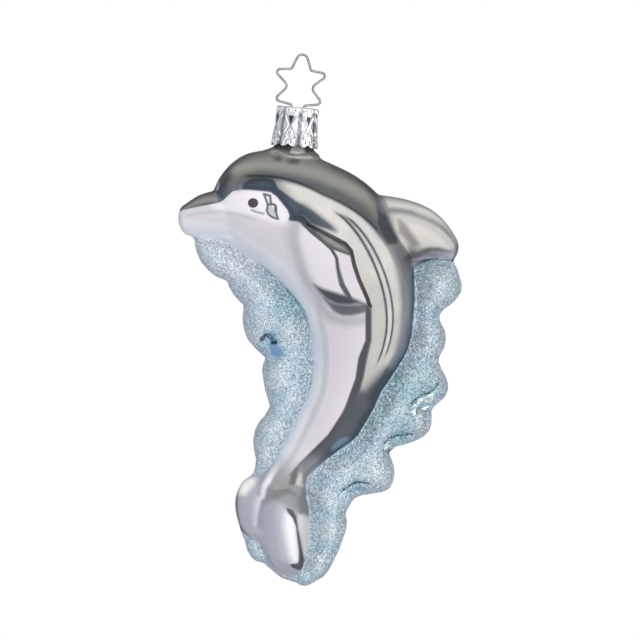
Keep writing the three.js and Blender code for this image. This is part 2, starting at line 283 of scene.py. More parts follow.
# Crests and hollows of the wave: pixel across, pixel down, radius in pixels, height in mm
WAVE_LUMPS = [
    (214, 257, 18, 0.9), (243, 272, 16, 1.1), (262, 292, 15, 0.7), (236, 288, 9, -0.6), (262, 322, 10, 1.1),
    (270, 340, 8, -1.6), (292, 330, 15, 0.6), (253, 336, 10, 0.5), (278, 352, 8, -0.8), (277, 376, 16, 1.0),
    (296, 400, 12, 0.6), (283, 398, 8, -0.4), (270, 432, 14, 0.9), (262, 456, 9, 0.6), (285, 444, 10, 0.4),
    (441, 283, 17, 1.1), (425, 303, 12, 0.5), (436, 312, 8, -0.8), (428, 337, 15, 1.0), (414, 318, 10, -0.3),
    (436, 360, 7, -0.7), (432, 382, 11, 1.0), (420, 402, 10, -1.1), (405, 375, 14, 0.7), (417, 424, 12, 1.1),
    (396, 408, 11, 0.6), (398, 438, 10, -1.1), (377, 425, 12, 0.5), (374, 468, 15, 1.2), (356, 489, 9, -1.1),
    (343, 468, 11, 0.7), (327, 498, 12, 0.8), (331, 532, 12, 1.0), (318, 562, 11, 0.9), (325, 515, 7, -0.4),
    (318, 547, 8, -0.4), (262, 551, 8, 0.6), (318, 480, 9, -0.4),
]

# Sharp folds in the wave: points in pixels, half width and height in mm
WAVE_CREASES = [
    ([(384, 444), (390, 438), (399, 435.5), (412, 434)], 0.45, -0.7),
    ([(341, 491), (350, 485.5), (358, 482), (368, 483.5)], 0.45, -0.7),
    ([(261, 341), (267, 335), (272, 339), (276, 342)], 0.6, -0.8),
    ([(408, 407), (416, 399), (424, 394.5), (432, 391), (438, 383)], 0.4, -0.7),
    ([(416, 401), (424, 405), (431, 404)], 0.3, -0.5),
    ([(406, 413), (411, 416), (414, 422)], 0.35, -0.6),
    ([(436, 349), (438, 357)], 0.35, -0.5),
    ([(240, 303), (244, 307)], 0.45, -0.5),
]

# Fine marks cut into or raised on each flank: points in pixels, half width and height in mm
FLANK_MARKS = [
    ([(186, 217), (200, 213.5), (220, 213.5), (240, 216.5), (256, 221)], 0.6, -0.16),
    ([(250, 209.5), (257, 212.5), (264, 214)], 0.45, -0.2),
    ([(213, 189), (218, 195), (222, 201)], 0.9, -0.35),
    ([(264, 195), (269, 204), (273, 213), (278, 220)], 0.9, -0.22),
    ([(280, 489), (290, 486), (300, 484.5), (306, 485)], 0.6, -0.25),
    ([(264, 506), (273, 499.5), (281, 498)], 0.6, 0.25),
    ([(273, 462), (266, 478), (262, 492)], 0.9, 0.35),
]

# Marks painted on each flank, in pixels: the gill mark's two curved sides, its cross strokes and its filling,
# and lines of painted shade along the fold under the eye and the mouth
GILL_LINE = [
    (264, 194.5), (266.8, 201.5), (267.8, 207.5), (267, 210.8), (269.6, 215.4), (273.4, 217.8), (278, 219.3),
]
GILL_BACK = [(270.3, 196.2), (270.8, 201.5), (271.8, 204.3), (275.8, 206), (276.2, 212), (278, 219.3)]
GILL_BARS = [((264, 194.5), (270.3, 196.2)), ((268.4, 204.6), (271.6, 204.8)), ((275.3, 207), (275.6, 211.5))]
GILL_FILL = [((270, 208.5), (273, 214.5))]
EYE_FOLD = [(252, 210.5), (257, 212.5), (263.5, 214)]
MOUTH_LINE = [(188, 216), (205, 212.5), (222, 212), (240, 215), (254, 220)]
# The eye: its centre and radii in pixels, and how far it stands out in mm
EYE = (253.3, 203.3)
EYE_RADII = (5.2, 4.8)
EYE_HEIGHT = 0.18

# The flipper: its raised face, and the foot of the slope that runs round it
FLIPPER_FACE = [
    (300, 223), (306, 227), (312, 233), (322, 241), (331, 249), (336.5, 258), (338, 270), (342, 285),
    (349, 298), (340, 296), (327, 291), (314, 285), (307, 271), (302, 256), (298.5, 240),
]
FLIPPER_FOOT = [
    (293, 216), (303, 217), (311, 226), (330, 236), (345, 244), (351, 251), (354, 265), (359, 280),
    (367, 298), (370, 307), (360, 312), (345, 311), (331, 306), (317, 298), (305, 285), (297, 270),
    (292, 255), (289, 238),
]
FLIPPER_HEIGHT = 1.9


def blurred(field, reach):
    """A field averaged with bell-shaped weights of the given reach in mm, along each axis in turn."""
    cells = int(math.ceil(3 * reach / FIELD_STEP))
    weights = np.exp(-0.5 * (np.arange(-cells, cells + 1) * FIELD_STEP / reach) ** 2)
    weights /= weights.sum()
    for axis in (0, 1):
        padded = np.pad(field, [(cells, cells) if k == axis else (0, 0) for k in (0, 1)], mode="edge")
        total = np.zeros_like(field)
        for shift, weight in enumerate(weights):
            total += weight * np.take(padded, np.arange(shift, shift + field.shape[axis]), axis=axis)
        field = total
    return field


def flipper_relief(x, z):
    """Height of the flipper on the flank, in mm: level on its face, and from there down to the foot as
    distance to the foot / (distance to the foot + distance to the face)."""
    face = outline_distance(x, z, from_photo(FLIPPER_FACE))
    foot = outline_distance(x, z, from_photo(FLIPPER_FOOT))
    share = np.clip(foot / np.maximum(foot - np.minimum(face, 0), 1e-3), 0, 1)
    return blurred(FLIPPER_HEIGHT * share, 0.28)


def wave_form(x, z, off_dolphin):
    """Square of the wave's half thickness: depth^2 * (1 - (1 - distance to the outline / rim)^2) within
    the rim, level inside it, and falling away outside. The depth dips to a valley along the dolphin, and
    inside the dolphin's outline it rises by a parabola, so that the dolphin's edge is steep."""
    distance = outline_distance(x, z, from_photo(WAVE_OUTLINE))
    share = 1 - np.clip(distance / WAVE_RIM, None, 1)
    depth = WAVE_DEPTH * (WAVE_VALLEY + (1 - WAVE_VALLEY) * soft_step(off_dolphin, -1.0, WAVE_BANK))
    shore = soft_step(distance, 0.5, 4.0)
    inland = np.clip(-off_dolphin / EDGE_WIDTH, 0, 1)
    return depth**2 * (1 - share**2) + EDGE_GAIN * shore * (1 - (1 - inland) ** 2)


def drawn_marks(x, z, marks):
    """The sum of some marks' heights: height * exp(-(distance to its line / half width)^2)."""
    relief = np.zeros_like(x)
    for points, half_width, height in marks:
        distance = line_distance(x, z, from_photo(points))
        relief += height * np.exp(-((distance / half_width) ** 2))
    return relief


def figure_fields():
    """The figure's height fields and its lump height on one grid over (across, up)."""
    x_axis = np.arange(FIELD_LOW[0], FIELD_HIGH[0] + FIELD_STEP / 2, FIELD_STEP)
    z_axis = np.arange(FIELD_LOW[1], FIELD_HIGH[1] + FIELD_STEP / 2, FIELD_STEP)
    x, z = np.meshgrid(x_axis, z_axis, indexing="ij")

    body = bent_form(x, z, BODY, 10.0, 3.5)
    beak = bent_form(x, z, BEAK, 1.5, 5.0)
    fin = bent_form(x, z, FIN, 5.0, 2.5)
    near = bent_form(x, z, NEAR_FLUKE, 4.0, 5.5, flatness=3.4)
    far = bent_form(x, z, FAR_FLUKE, 4.0, 2.5)
    dolphin = soft_max(soft_max(body, beak, BLEND), fin, BLEND)
    dolphin = soft_max(dolphin, neck_form(x, z), NECK_BLEND)
    off_dolphin = -outline_distance(x, z, from_photo(DOLPHIN_OUTLINE))
    wave = wave_form(x, z, off_dolphin)

    lumps = np.zeros_like(x)
    for across, down, radius, height in WAVE_LUMPS:
        centre_x, centre_z = from_photo((across, down))
        near_by = ((x - centre_x) ** 2 + (z - centre_z) ** 2) / (radius * MM_PER_PIXEL) ** 2
        lumps += height * np.exp(-1.6 * near_by)
    marks = drawn_marks(x, z, FLANK_MARKS)
    eye_x, eye_z = from_photo(EYE)
    eye_width, eye_height = np.array(EYE_RADII) * MM_PER_PIXEL
    eye_share = np.hypot((x - eye_x) / eye_width, (z - eye_z) / eye_height)
    marks += EYE_HEIGHT * soft_step(eye_share, 1.3, 0.7)
    marks += flipper_relief(x, z)
    creases = drawn_marks(x, z, WAVE_CREASES)
    marks += creases
    on_wave = soft_step(off_dolphin, 0.0, 1.6)

    sides = {"lumps": lumps, "creases": creases}
    for name, front_fluke, back_fluke in (("front", near, far), ("back", far, near)):
        tail = soft_max(soft_max(dolphin, front_fluke, BLEND), back_fluke * BACK_FLUKE_SHARE, BLEND)
        whole = soft_max(tail, wave, BLEND)
        inner = np.sqrt(np.clip(whole, 0, None))
        relief = (marks + lumps * on_wave) * soft_step(inner, 0.5, 3.0)
        sides[name] = blurred(np.where(whole > 0, np.maximum(inner + relief, 0.05) ** 2, whole), 0.16)
    return x_axis, z_axis, sides


def sampler(x_axis, z_axis, field):
    """A function that reads a grid field at any points, by straight mixing between its four neighbours."""
    def read(x, z):
        u = np.clip((x - x_axis[0]) / FIELD_STEP, 0, len(x_axis) - 1.001)
        v = np.clip((z - z_axis[0]) / FIELD_STEP, 0, len(z_axis) - 1.001)
        i, j = u.astype(int), v.astype(int)
        s, t = u - i, v - j
        lower = field[i, j] * (1 - s) + field[i + 1, j] * s
        upper = field[i, j + 1] * (1 - s) + field[i + 1, j + 1] * s
        return lower * (1 - t) + upper * t
    return read


def surface_net(value, low, cell):
    """A closed quad mesh where a lattice of values passes through 0. Each cell that the surface crosses
    has one point, the mean of where its edges cross, and each crossed edge has one quad round it."""
    cells, points = [], []
    for axis in range(3):
        step = np.eye(3, dtype=int)[axis]
        first = value[tuple(slice(0, n - d) for n, d in zip(value.shape, step))]
        second = value[tuple(slice(d, n) for n, d in zip(value.shape, step))]
        edges = np.argwhere((first > 0) != (second > 0))
        at_first, at_second = first[tuple(edges.T)], second[tuple(edges.T)]
        crossing = edges + step * (at_first / (at_first - at_second))[:, None]
        side_a, side_b = np.eye(3, dtype=int)[(axis + 1) % 3], np.eye(3, dtype=int)[(axis + 2) % 3]
        ring = np.stack([edges - side_a - side_b, edges - side_b, edges, edges - side_a], axis=1)
        flip = at_first < 0
        ring[flip] = ring[flip][:, ::-1]
        cells.append(ring.reshape(-1, 3))
        points.append(np.repeat(crossing, 4, axis=0))
    cells, points = np.vstack(cells), np.vstack(points)
    keys = np.ravel_multi_index(tuple(cells.T), value.shape)
    index = np.unique(keys, return_inverse=True)[1].ravel()
    count = np.bincount(index)
    mean = np.column_stack([np.bincount(index, weights=points[:, k]) / count for k in range(3)])
    return mean * cell + low, index.reshape(-1, 4)


def build_mesh(name, vertices, faces, normals=None):
    """A mesh object from points in mm and faces, with smooth shading."""
    mesh = bpy.data.meshes.new(name)
    mesh.from_pydata((np.asarray(vertices) * MM).tolist(), [], [list(map(int, face)) for face in faces])
    mesh.update()
    mesh.polygons.foreach_set("use_smooth", np.ones(len(mesh.polygons), bool))
    if normals is not None:
        mesh.normals_split_custom_set_from_vertices(normals.tolist())
    piece = bpy.data.objects.new(name, mesh)
    bpy.context.scene.collection.objects.link(piece)
    return piece


def set_attribute(piece, name, values):
    """Stores one number a vertex on the mesh, for its material to read."""
    layer = piece.data.attributes.new(name, "FLOAT", "POINT")
    layer.data.foreach_set("value", np.asarray(values, np.float32))


# The dolphin's paint, and the painted reflections, highlights and shade laid over it: outlines of the areas,
# in pixels
PAINTED_AREAS = {
    "dolphin": [DOLPHIN_OUTLINE],
    "wave": [WAVE_OUTLINE],
    "white": [[
        (150, 214), (179, 211.5), (190, 208.5), (220, 202.5), (224, 200), (233, 191.5), (243.5, 190),
        (252, 190), (270.5, 192.5), (277, 197), (288, 210.5), (289.5, 216.5), (288.5, 220.5), (297.5, 221.5),
        (304, 224), (311, 229), (344, 246), (350.5, 253), (359, 280), (366, 298), (368, 306), (368, 342),
        (363.5, 356), (359, 378), (354, 397), (347, 411), (337, 427), (304, 463), (294, 475), (270, 500),
        (150, 500),
    ]],
    "face": [[
        (212, 206), (222, 202), (232, 194), (250, 191), (272, 193), (283, 205), (289, 217), (286, 223),
        (274, 222), (250, 214), (222, 211),
    ]],
    "flipper": [FLIPPER_FACE],
    # Painted shadow beside the flipper
    "beside_flipper_shadow": [[
        (292, 223), (298, 226), (298, 240), (307, 272), (314, 286), (318, 300), (312, 302), (303, 284),
        (284, 232),
    ]],
    "flipper_shadow": [[
        (313, 284), (323, 289), (353, 298), (370, 306), (371, 312), (367, 312), (366, 306), (358, 304),
        (347, 305), (337, 304), (328, 300), (321, 294),
    ]],
    "flipper_shade": [[
        (324, 298), (329, 302), (337, 305), (347, 306), (366, 305), (370, 311), (352, 315), (342, 315),
        (334, 311), (328, 304),
    ]],
    # Painted shade below the flipper
    "below_flipper_shade": [[
        (318, 294), (327, 310), (340, 318), (369, 317), (369, 323), (345, 325), (329, 320), (318, 308),
    ]],
    # A lens on the flipper with dark edges: painted reflection
    "lens": [[
        (310, 228), (320, 230), (332, 236), (344, 244), (350, 250), (350, 256), (334, 250), (324, 244),
        (316, 236),
    ]],
    "flipper_foot": [FLIPPER_FOOT],
    # Where the dark lines round the flipper, painted reflections, are drawn
    "flipper_rim": [[
        (298, 214), (330, 228), (356, 243), (362, 270), (374, 300), (374, 309), (352, 304), (338, 285),
        (326, 262), (306, 236),
    ]],
    # A dark patch on the brow above the beak: painted shadow
    "forehead_shadow": [[(215, 192), (224, 175), (229, 171), (231, 176), (224, 200), (220, 200)]],
    # A white spot on the brow: painted highlight
    "glint": [[(216, 190.5), (216.5, 186), (218, 181), (219.5, 182), (219, 187), (218, 190.5)]],
    "beak_top": [[(180, 211), (213, 192), (222, 202), (190, 208)]],
    # The grey cape; its darker edge is partly airbrushed and partly a painted reflection
    "cape": [[
        (150, 214), (179, 212), (220, 202), (250, 180), (261, 177), (275, 179), (315, 188), (335, 196),
        (355, 209), (364, 216), (372, 226), (379, 236), (387, 244), (397, 242), (396, 232), (391, 218),
        (385, 207), (378, 197), (372, 185), (340, 130), (250, 100), (150, 150),
    ]],
    # The neck below the cap, painted dark as the dark reflection under the cap
    "neck": [[
        (262, 138), (272, 146), (281, 152), (292, 156), (303, 156), (312, 156), (318, 158), (328, 158),
        (322, 138),
    ]],
    # A painted highlight on the neck
    "neck_highlight": [[(293, 145), (299, 143), (304, 148), (305, 153), (298, 154), (290, 153)]],
    "shoulder": [[(252, 150), (318, 156), (334, 160), (330, 168), (262, 162)]],
    # Dark patches on the flare below the neck: painted dark reflections
    "flare_dark_reflection": [
        [(274, 158), (278, 156), (282, 158), (281, 161), (276, 161)],
        [(287, 161), (293, 159), (299, 161), (298, 164), (290, 164)],
    ],
    # A slate stripe behind the eye: partly dark lacquer and partly painted reflection
    "slate": [[
        (242, 190), (243, 184), (250, 179), (261, 177), (270, 178), (275, 181), (278, 188), (297, 202),
        (314, 212), (331, 226), (335, 231), (323, 228), (311, 224), (308, 230), (304, 225), (297, 222),
        (288, 221), (290, 216), (288, 211), (277, 197), (270, 192),
    ]],
    # Along the fin's top: a painted dark reflection line and a painted highlight stripe
    "fin_top_highlight": [[
        (374, 186), (386, 211), (398, 212), (410, 214), (431, 223), (441, 229), (448, 236), (454, 246),
        (480, 262), (480, 170), (380, 165),
    ]],
    "fin_zone": [[
        (376, 186), (396, 196), (420, 200), (480, 220), (480, 275), (414, 284), (401, 278), (376, 225),
    ]],
    # The fin's face: painted sheen, lighter than the back
    "fin_face_sheen": [[
        (390, 213), (402, 213), (421, 220), (440, 230), (452, 246), (440, 246), (425, 250), (414, 257),
        (405, 250), (398, 236),
    ]],
    # A darker patch in the fin's dish: painted shade
    "fin_dish_shade": [[(399, 221), (405, 225), (418, 244), (413, 246), (400, 232)]],
    "fin_shadow": [
        [(377, 205), (381, 212), (387, 216), (398, 240), (396, 244), (388, 244), (382, 236), (377, 224)],
        [(411, 266), (414, 259), (420, 252), (428, 248), (438, 248), (453, 252), (451, 256), (443, 254),
         (434, 254), (426, 257), (414, 268)],
    ],
    # Where the fin meets the back: painted reflection
    "joint": [[(389, 245), (396, 244), (403, 251), (409, 261), (410, 275), (405, 277)]],
    # A dark stripe along the belly's edge: painted shade and dark reflection
    "belly_edge_shade": [[
        (365, 307), (371, 309), (371, 340), (367, 357), (363, 378), (360, 388), (350, 414), (336, 434),
        (300, 468), (292, 478), (289, 475), (292, 472), (299, 463), (308, 454), (328, 434), (341, 414),
        (345, 406), (355, 378), (358, 358), (365, 340),
    ]],
    # A dark strip along the lower back: painted shade and dark reflection
    "lower_back_shade": [[
        (356, 393), (366, 391), (386, 370), (388, 374), (383, 387), (361, 427), (353, 437), (318, 463),
        (302, 478), (294, 477), (300, 466), (336, 430),
    ]],
    # The slate stripe's end towards the flipper: partly dark lacquer and partly painted reflection
    "slate_tail": [[(297, 205), (304, 206), (331, 226), (335, 231), (300, 219)]],
    "roll": [[(333, 447), (338, 442), (345, 438), (349, 438), (346, 442), (333, 450)]],
    # A dark line down the near fluke: painted reflection
    "fluke_reflection_line": [[
        (286, 507), (293, 510), (296, 516), (304, 560), (302, 568), (300, 570), (292, 567), (290, 564),
        (298, 563), (299, 560), (299, 550), (296, 526), (293, 518), (288, 512),
    ]],
    # A bright strip on the near fluke: painted highlight
    "fluke_highlight": [[(286, 514), (290, 516), (294, 523), (298, 560), (294, 561), (290, 552), (285, 526)]],
    "tail_shade": [[
        (262, 502), (263, 492), (270, 476), (281, 464), (297, 455), (308, 462), (306, 497), (309, 512),
        (304, 521), (296, 511), (286, 503), (274, 499),
    ]],
    # A greyer patch at the fluke's root: painted reflection
    "fluke_root_reflection": [[
        (273, 497), (281, 491), (292, 487), (301, 487), (306, 492), (309, 503), (308, 514), (300, 513),
        (294, 508),
    ]],
    # A dark wedge at the fluke's root: painted dark reflection
    "root_dark_reflection": [[(290, 484), (291, 476), (294, 468), (298, 467), (296, 484)]],
    # A light edge at the fluke's root: painted highlight
    "root_highlight": [[(296, 484), (300, 472), (302, 474), (302, 480), (303, 486)]],
    # A cream strip beyond the near fluke's dark line: painted sheen
    "fluke_right_sheen": [[(299, 515), (304, 514), (310, 519), (310, 540), (307, 557), (304, 557)]],
    # A white patch at the far fluke's top: painted highlight
    "far_fluke_highlight": [[
        (240, 494), (240, 487), (244, 481), (250, 478), (256, 479), (254, 484), (245, 494),
    ]],
    # A dark rim on the far fluke: painted shade
    "far_fluke_rim_shade": [[(230, 480), (237, 483), (238, 512), (240, 524), (253, 541), (240, 542), (228, 520)]],
    "fluke_groove": [[(256, 499), (263, 496), (260, 530), (253, 532), (256, 515)]],
    # A bright line along the tail's ridge: painted highlight
    "tail_ridge_highlight": [[(261, 498), (262, 486), (276, 461), (280, 461), (276, 471), (266, 488), (264, 498)]],
    "bare": [[(268, 343), (273, 340), (277, 343), (283, 350), (285, 356), (277, 358), (270, 356)]],
    "shards": [
        [(407, 407), (421, 396), (424, 398), (421, 403), (411, 408)],
        [(424, 397), (430, 392), (434, 392), (433, 399), (430, 403), (425, 402)],
        [(411, 411), (420, 406), (429, 406), (430, 411), (421, 414), (414, 415)],
        [(384, 448), (389, 445), (394, 459), (386, 452)],
    ],
}


def painted_area(x, z, outlines):
    """Signed distance in mm to the nearest edge of some outlines, positive inside, at most 5 mm."""
    nearest = np.full(np.shape(x), -5.0)
    for outline in outlines:
        nearest = np.maximum(nearest, outline_distance(x, z, from_photo(outline)))
    return np.minimum(nearest, 5.0)


def glass_figure():
    """The glass: the surface where the mould's height field equals the depth squared, y^2 = G(x, z), with
    the front's field for y < 0 and the back's for y > 0, cut off at the neck's mouth and bored out there."""
    x_axis, z_axis, sides = figure_fields()
    read = {name: sampler(x_axis, z_axis, field) for name, field in sides.items()}

    def inside(px, py, pz):
        back = soft_step(py, -1.0, 1.0)
        field = read["front"](px, pz) * (1 - back) + read["back"](px, pz) * back
        form = field - py**2
        height, aside = neck_axis(px, pz)
        form = np.minimum(form, -height * 2 * NECK_RADIUS)
        bore = np.minimum((NECK_RADIUS - NECK_WALL) ** 2 - aside**2 - py**2, (height + BORE_DEPTH) * 6)
        return np.minimum(form, -bore)

    low = np.array([FIELD_LOW[0], -FIELD_HALF_DEPTH, FIELD_LOW[1]])
    extent = (FIELD_HIGH[0] - low[0], 2 * FIELD_HALF_DEPTH, FIELD_HIGH[1] - low[2])
    shape = [int(round(length / CELL)) for length in extent]
    axes = [low[k] + CELL * np.arange(shape[k]) for k in range(3)]
    flat_x, flat_z = np.meshgrid(axes[0], axes[2], indexing="ij")
    lattice = inside(flat_x[:, None, :], axes[1][None, :, None], flat_z[:, None, :])
    points, quads = surface_net(lattice, low, CELL)

    def gradient(p):
        shifts = np.eye(3) * FIELD_STEP
        slopes = [(inside(*(p + shift).T) - inside(*(p - shift).T)) / (2 * FIELD_STEP) for shift in shifts]
        return np.column_stack(slopes)

    slope = gradient(points)
    step = inside(*points.T)[:, None] * slope / np.maximum((slope**2).sum(1), 0.5)[:, None]
    reach = np.linalg.norm(step, axis=1)[:, None]
    points -= step * np.minimum(1, 0.5 * CELL / np.maximum(reach, 1e-9))
    slope = gradient(points)
    normals = -slope / np.maximum(np.linalg.norm(slope, axis=1), 1e-9)[:, None]

    px, py, pz = points.T
    placed = points + (MOUTH[0], 0, MOUTH[1])
    piece = build_mesh("blown_glass_dolphin", placed, quads, normals)
    for name, outlines in PAINTED_AREAS.items():
        set_attribute(piece, name, painted_area(px, pz, outlines))
    set_attribute(piece, "crest", read["lumps"](px, pz))
    set_attribute(piece, "crease", read["creases"](px, pz))
    return piece


def hanging(points):
    """Points given about the leaning axis, with their height measured from the star's top, turned by the
    lean about the origin."""
    x, y, z = np.asarray(points, float).T
    return np.column_stack([x * LEAN_UP + z * LEAN_ACROSS, y, z * LEAN_UP - x * LEAN_ACROSS])


def rounded_path(corners, per_bend=9):
    """Straight runs between corners given as (across, up, bend radius). Each corner is rounded by an arc,
    drawn as a cubic curve whose handles are 4/3 * tan(turn / 4) * radius long."""
    t = np.linspace(0, 1, per_bend)[:, None]
    places = [np.array(corner[:2], float) for corner in corners]
    points = [places[0][None]]
    for before, corner, after, (_, _, radius) in zip(places, places[1:], places[2:], corners[1:]):
        back = (before - corner) / np.linalg.norm(before - corner)
        onward = (after - corner) / np.linalg.norm(after - corner)
        turn = math.pi - math.acos(float(back @ onward))
        reach = radius * math.tan(turn / 2)
        handle = reach - 4 / 3 * math.tan(turn / 4) * radius
        a, b = corner + back * reach, corner + back * handle
        c, d = corner + onward * handle, corner + onward * reach
        points.append((1 - t) ** 3 * a + 3 * t * (1 - t) ** 2 * b + 3 * t**2 * (1 - t) * c + t**3 * d)
    points.append(places[-1][None])
    return np.vstack(points)


def wire_hanger():
    """The wire: a circle carried along the star's path, in the plane of the path and across it."""
    def side(sign):
        corners = []
        for degrees, radius, bend in STAR_CORNERS:
            turned = math.radians(degrees)
            corners.append((sign * radius * math.sin(turned), STAR_CENTRE + radius * math.cos(turned), bend))
        half, mouth = sign * LEG_SPACING / 2, -MOUTH_DROP
        corners.append((half, CAP_TOP + 2 * WIRE_RADIUS, LEG_BEND))
        corners.append((half, mouth - LEG_LENGTH / 4, LEG_BEND))
        corners.append((half + sign * LEG_SPLAY, mouth - LEG_LENGTH, LEG_BEND))
        return corners
    path = rounded_path(side(-1)[::-1] + [(0, STAR_CENTRE + STAR_TOP, STAR_TOP_BEND)] + side(1))
    tangent = np.gradient(path, axis=0)
    tangent /= np.linalg.norm(tangent, axis=1)[:, None]
    sides = 16
    angle = np.linspace(0, 2 * math.pi, sides, endpoint=False)
    aside = np.cos(angle)[None, :] * WIRE_RADIUS
    ring_x = path[:, :1] - tangent[:, 1:] * aside
    ring_z = path[:, 1:] + tangent[:, :1] * aside
    ring_y = np.broadcast_to(np.sin(angle) * WIRE_RADIUS, ring_x.shape)
    rings = np.stack([ring_x, ring_y, ring_z], axis=-1).reshape(-1, 3)
    index, quads = ring_faces(len(path), sides)
    ends = [index[0][::-1].tolist(), index[-1].tolist()]
    return outward(build_mesh("star_wire", hanging(rings), quads + ends))


def ring_faces(rings, columns):
    """The numbers of the points in a stack of closed rings, and the quads between the rings."""
    index = np.arange(rings * columns).reshape(rings, columns)
    following = np.roll(index, -1, axis=1)
    quads = np.stack([index[:-1], following[:-1], following[1:], index[1:]], axis=-1)
    return index, quads.reshape(-1, 4).tolist()


def outward(piece):
    """Turns every face of a closed mesh to point outwards."""
    work = bmesh.new()
    work.from_mesh(piece.data)
    bmesh.ops.recalc_face_normals(work, faces=work.faces)
    work.to_mesh(piece.data)
    work.free()
    return piece


# The cap
CAP_HEIGHT = 9.9
CAP_FLARE = 0.6
CAP_PANELS = 7
CRIMP_DEPTH = 0.4
SCALLOP_DEPTH = 0.7

# Ring beads on each panel: mm aside from its middle, mm below the cap's top, and radius
SIDE_BEADS = [(1.15, 7.6, 0.5), (0.62, 9.3, 0.42), (1.75, 8.8, 0.42), (1.5, 0.85, 0.45), (2.1, 6.5, 0.35)]
CAP_BEADS = [(0, 8.35, 0.55)]
CAP_BEADS += [(side * aside, below, radius) for aside, below, radius in SIDE_BEADS for side in (1, -1)]
RIDGE_HEIGHT = 0.22
RIDGE_WIDTH = 0.16
RIM_HEIGHT = 0.14
# The lozenge on each panel, in mm below the cap's top, and the stud inside it
LOZENGE_HALF_WIDTH = 1.8
LOZENGE_HALF_HEIGHT = 3.5
LOZENGE_MIDDLE = 4.6
STUD_HEIGHT = 0.2
# Rings of painted shade beside the lozenge's ridge, with no groove in the form: its share of the lozenge's
# size, its width and how dark it is
LOZENGE_SHADE_RINGS = [(1.27, 0.1, 0.55), (0.78, 0.07, 0.5)]
CAP_CORNER = 0.3
COLUMNS_IN_PANEL = 64
ROWS_DOWN = 96
# A dark wedge of painted shade over each fold, not pressed in: mm below the cap's top where it begins and
# ends, and its half width for each mm above its end
FOLD_SHADE_WEDGE = (2.2, 4.7, 0.3)


def pressed_pattern(wide, depth_mm, drop, fold, half_panel):
    """The pattern on a panel, over mm aside from its middle and mm below the top: the height of lozenge,
    stud, beads and rim, each ridge as height * exp(-(distance / width)^2), and how dark its hollows are
    painted, as shade and dark reflections."""
    lozenge = np.abs(wide) / LOZENGE_HALF_WIDTH + np.abs(depth_mm - LOZENGE_MIDDLE) / LOZENGE_HALF_HEIGHT
    relief = RIDGE_HEIGHT * np.exp(-(((lozenge - 1) / 0.11) ** 2))
    relief += STUD_HEIGHT * soft_step(lozenge, 0.7, 0.1)
    relief += RIM_HEIGHT * np.exp(-(((drop - depth_mm) / RIDGE_WIDTH) ** 2))
    # Painted shade and dark reflections: along the folds, inside the beads, in the rings and in the wedges
    hollow = 0.8 * fold**0.7 * soft_step(depth_mm, 0.4, 1.6)
    for bead_x, bead_z, size in CAP_BEADS:
        from_bead = np.hypot(wide - bead_x, depth_mm - bead_z)
        relief += RIDGE_HEIGHT * np.exp(-(((from_bead - size) / RIDGE_WIDTH) ** 2))
        hollow = np.maximum(hollow, 0.9 * soft_step(from_bead, size * 0.6, 0.1))
    for middle, half_width, share in LOZENGE_SHADE_RINGS:
        hollow = np.maximum(hollow, share * np.exp(-(((lozenge - middle) / half_width) ** 2)))
    fold_shade_top, fold_shade_end, fold_shade_widening = FOLD_SHADE_WEDGE
    from_fold = half_panel - np.abs(wide)
    fold_shade = soft_step((fold_shade_end - depth_mm) * fold_shade_widening - from_fold, -0.1, 0.1)
    return relief, np.maximum(hollow, fold_shade * soft_step(depth_mm, fold_shade_top - 0.1, fold_shade_top + 0.1))


def tin_cap():
    """The cap: a profile turned round the axis, radius(height) from the flat top down the flared wall,
    drawn in along a fold between panels, with lozenges, studs and beaded scallops pressed out."""
    inner_top = NECK_RADIUS + CLEARANCE + CRIMP_DEPTH
    columns = CAP_PANELS * COLUMNS_IN_PANEL
    down = np.concatenate([[0.0, 0.02], np.linspace(0.05, 1, ROWS_DOWN)])
    around = np.arange(columns) / columns * CAP_PANELS
    panel = (around - 0.7) % 1.0 - 0.5
    fold = np.abs(np.cos(np.pi * (around - 0.2))) ** 14
    scallop = np.abs(np.sin(np.pi * (around - 0.2) * 2))
    drop = CAP_HEIGHT - SCALLOP_DEPTH * (1 - scallop)
    depth_mm = down[:, None] * drop
    half_panel = math.pi * (inner_top + CAP_WALL) / CAP_PANELS
    relief, hollow = pressed_pattern(panel * 2 * half_panel, depth_mm, drop, fold, half_panel)

    inner = inner_top + CAP_FLARE * down[:, None] ** 2 - CRIMP_DEPTH * fold
    shoulder = np.clip(1 - depth_mm / CAP_CORNER, 0, 1)
    outer = inner + CAP_WALL + relief - CAP_CORNER * (1 - np.sqrt(1 - shoulder**2 * 0.999))
    angle = around / CAP_PANELS * 2 * np.pi
    rows = []
    for share in (0.35, 0.7, 0.9):
        rows.append((outer[0] * share, np.zeros(columns), np.zeros(columns)))
    for k in range(len(down)):
        rows.append((outer[k], -depth_mm[k], hollow[k]))
    # The inner rows have a hollow of 1: the inside is painted dark as shade
    for k in range(len(down) - 1, 1, -6):
        rows.append((inner[k], -np.maximum(depth_mm[k], CAP_WALL), np.ones(columns)))
    for share in (0.9, 0.5):
        rows.append((inner[2] * share, np.full(columns, -CAP_WALL), np.ones(columns)))
    radius = np.array([row[0] for row in rows])
    height = np.array([row[1] for row in rows])
    grid = np.stack([radius * np.sin(angle), -radius * np.cos(angle), height + CAP_TOP], axis=-1)
    vertices = np.vstack([grid.reshape(-1, 3), [[0, 0, CAP_TOP], [0, 0, CAP_TOP - CAP_WALL]]])
    index, quads = ring_faces(len(rows), columns)
    top, under = len(vertices) - 2, len(vertices) - 1
    fans = [(middle, a, b) for middle, ring in ((top, index[0]), (under, index[-1]))
            for a, b in zip(ring, np.roll(ring, -1))]
    piece = build_mesh("pressed_tin_cap", hanging(vertices), quads + fans)
    set_attribute(piece, "hollow", np.concatenate([np.concatenate([row[2] for row in rows]), [0, 1]]))
    return outward(piece)


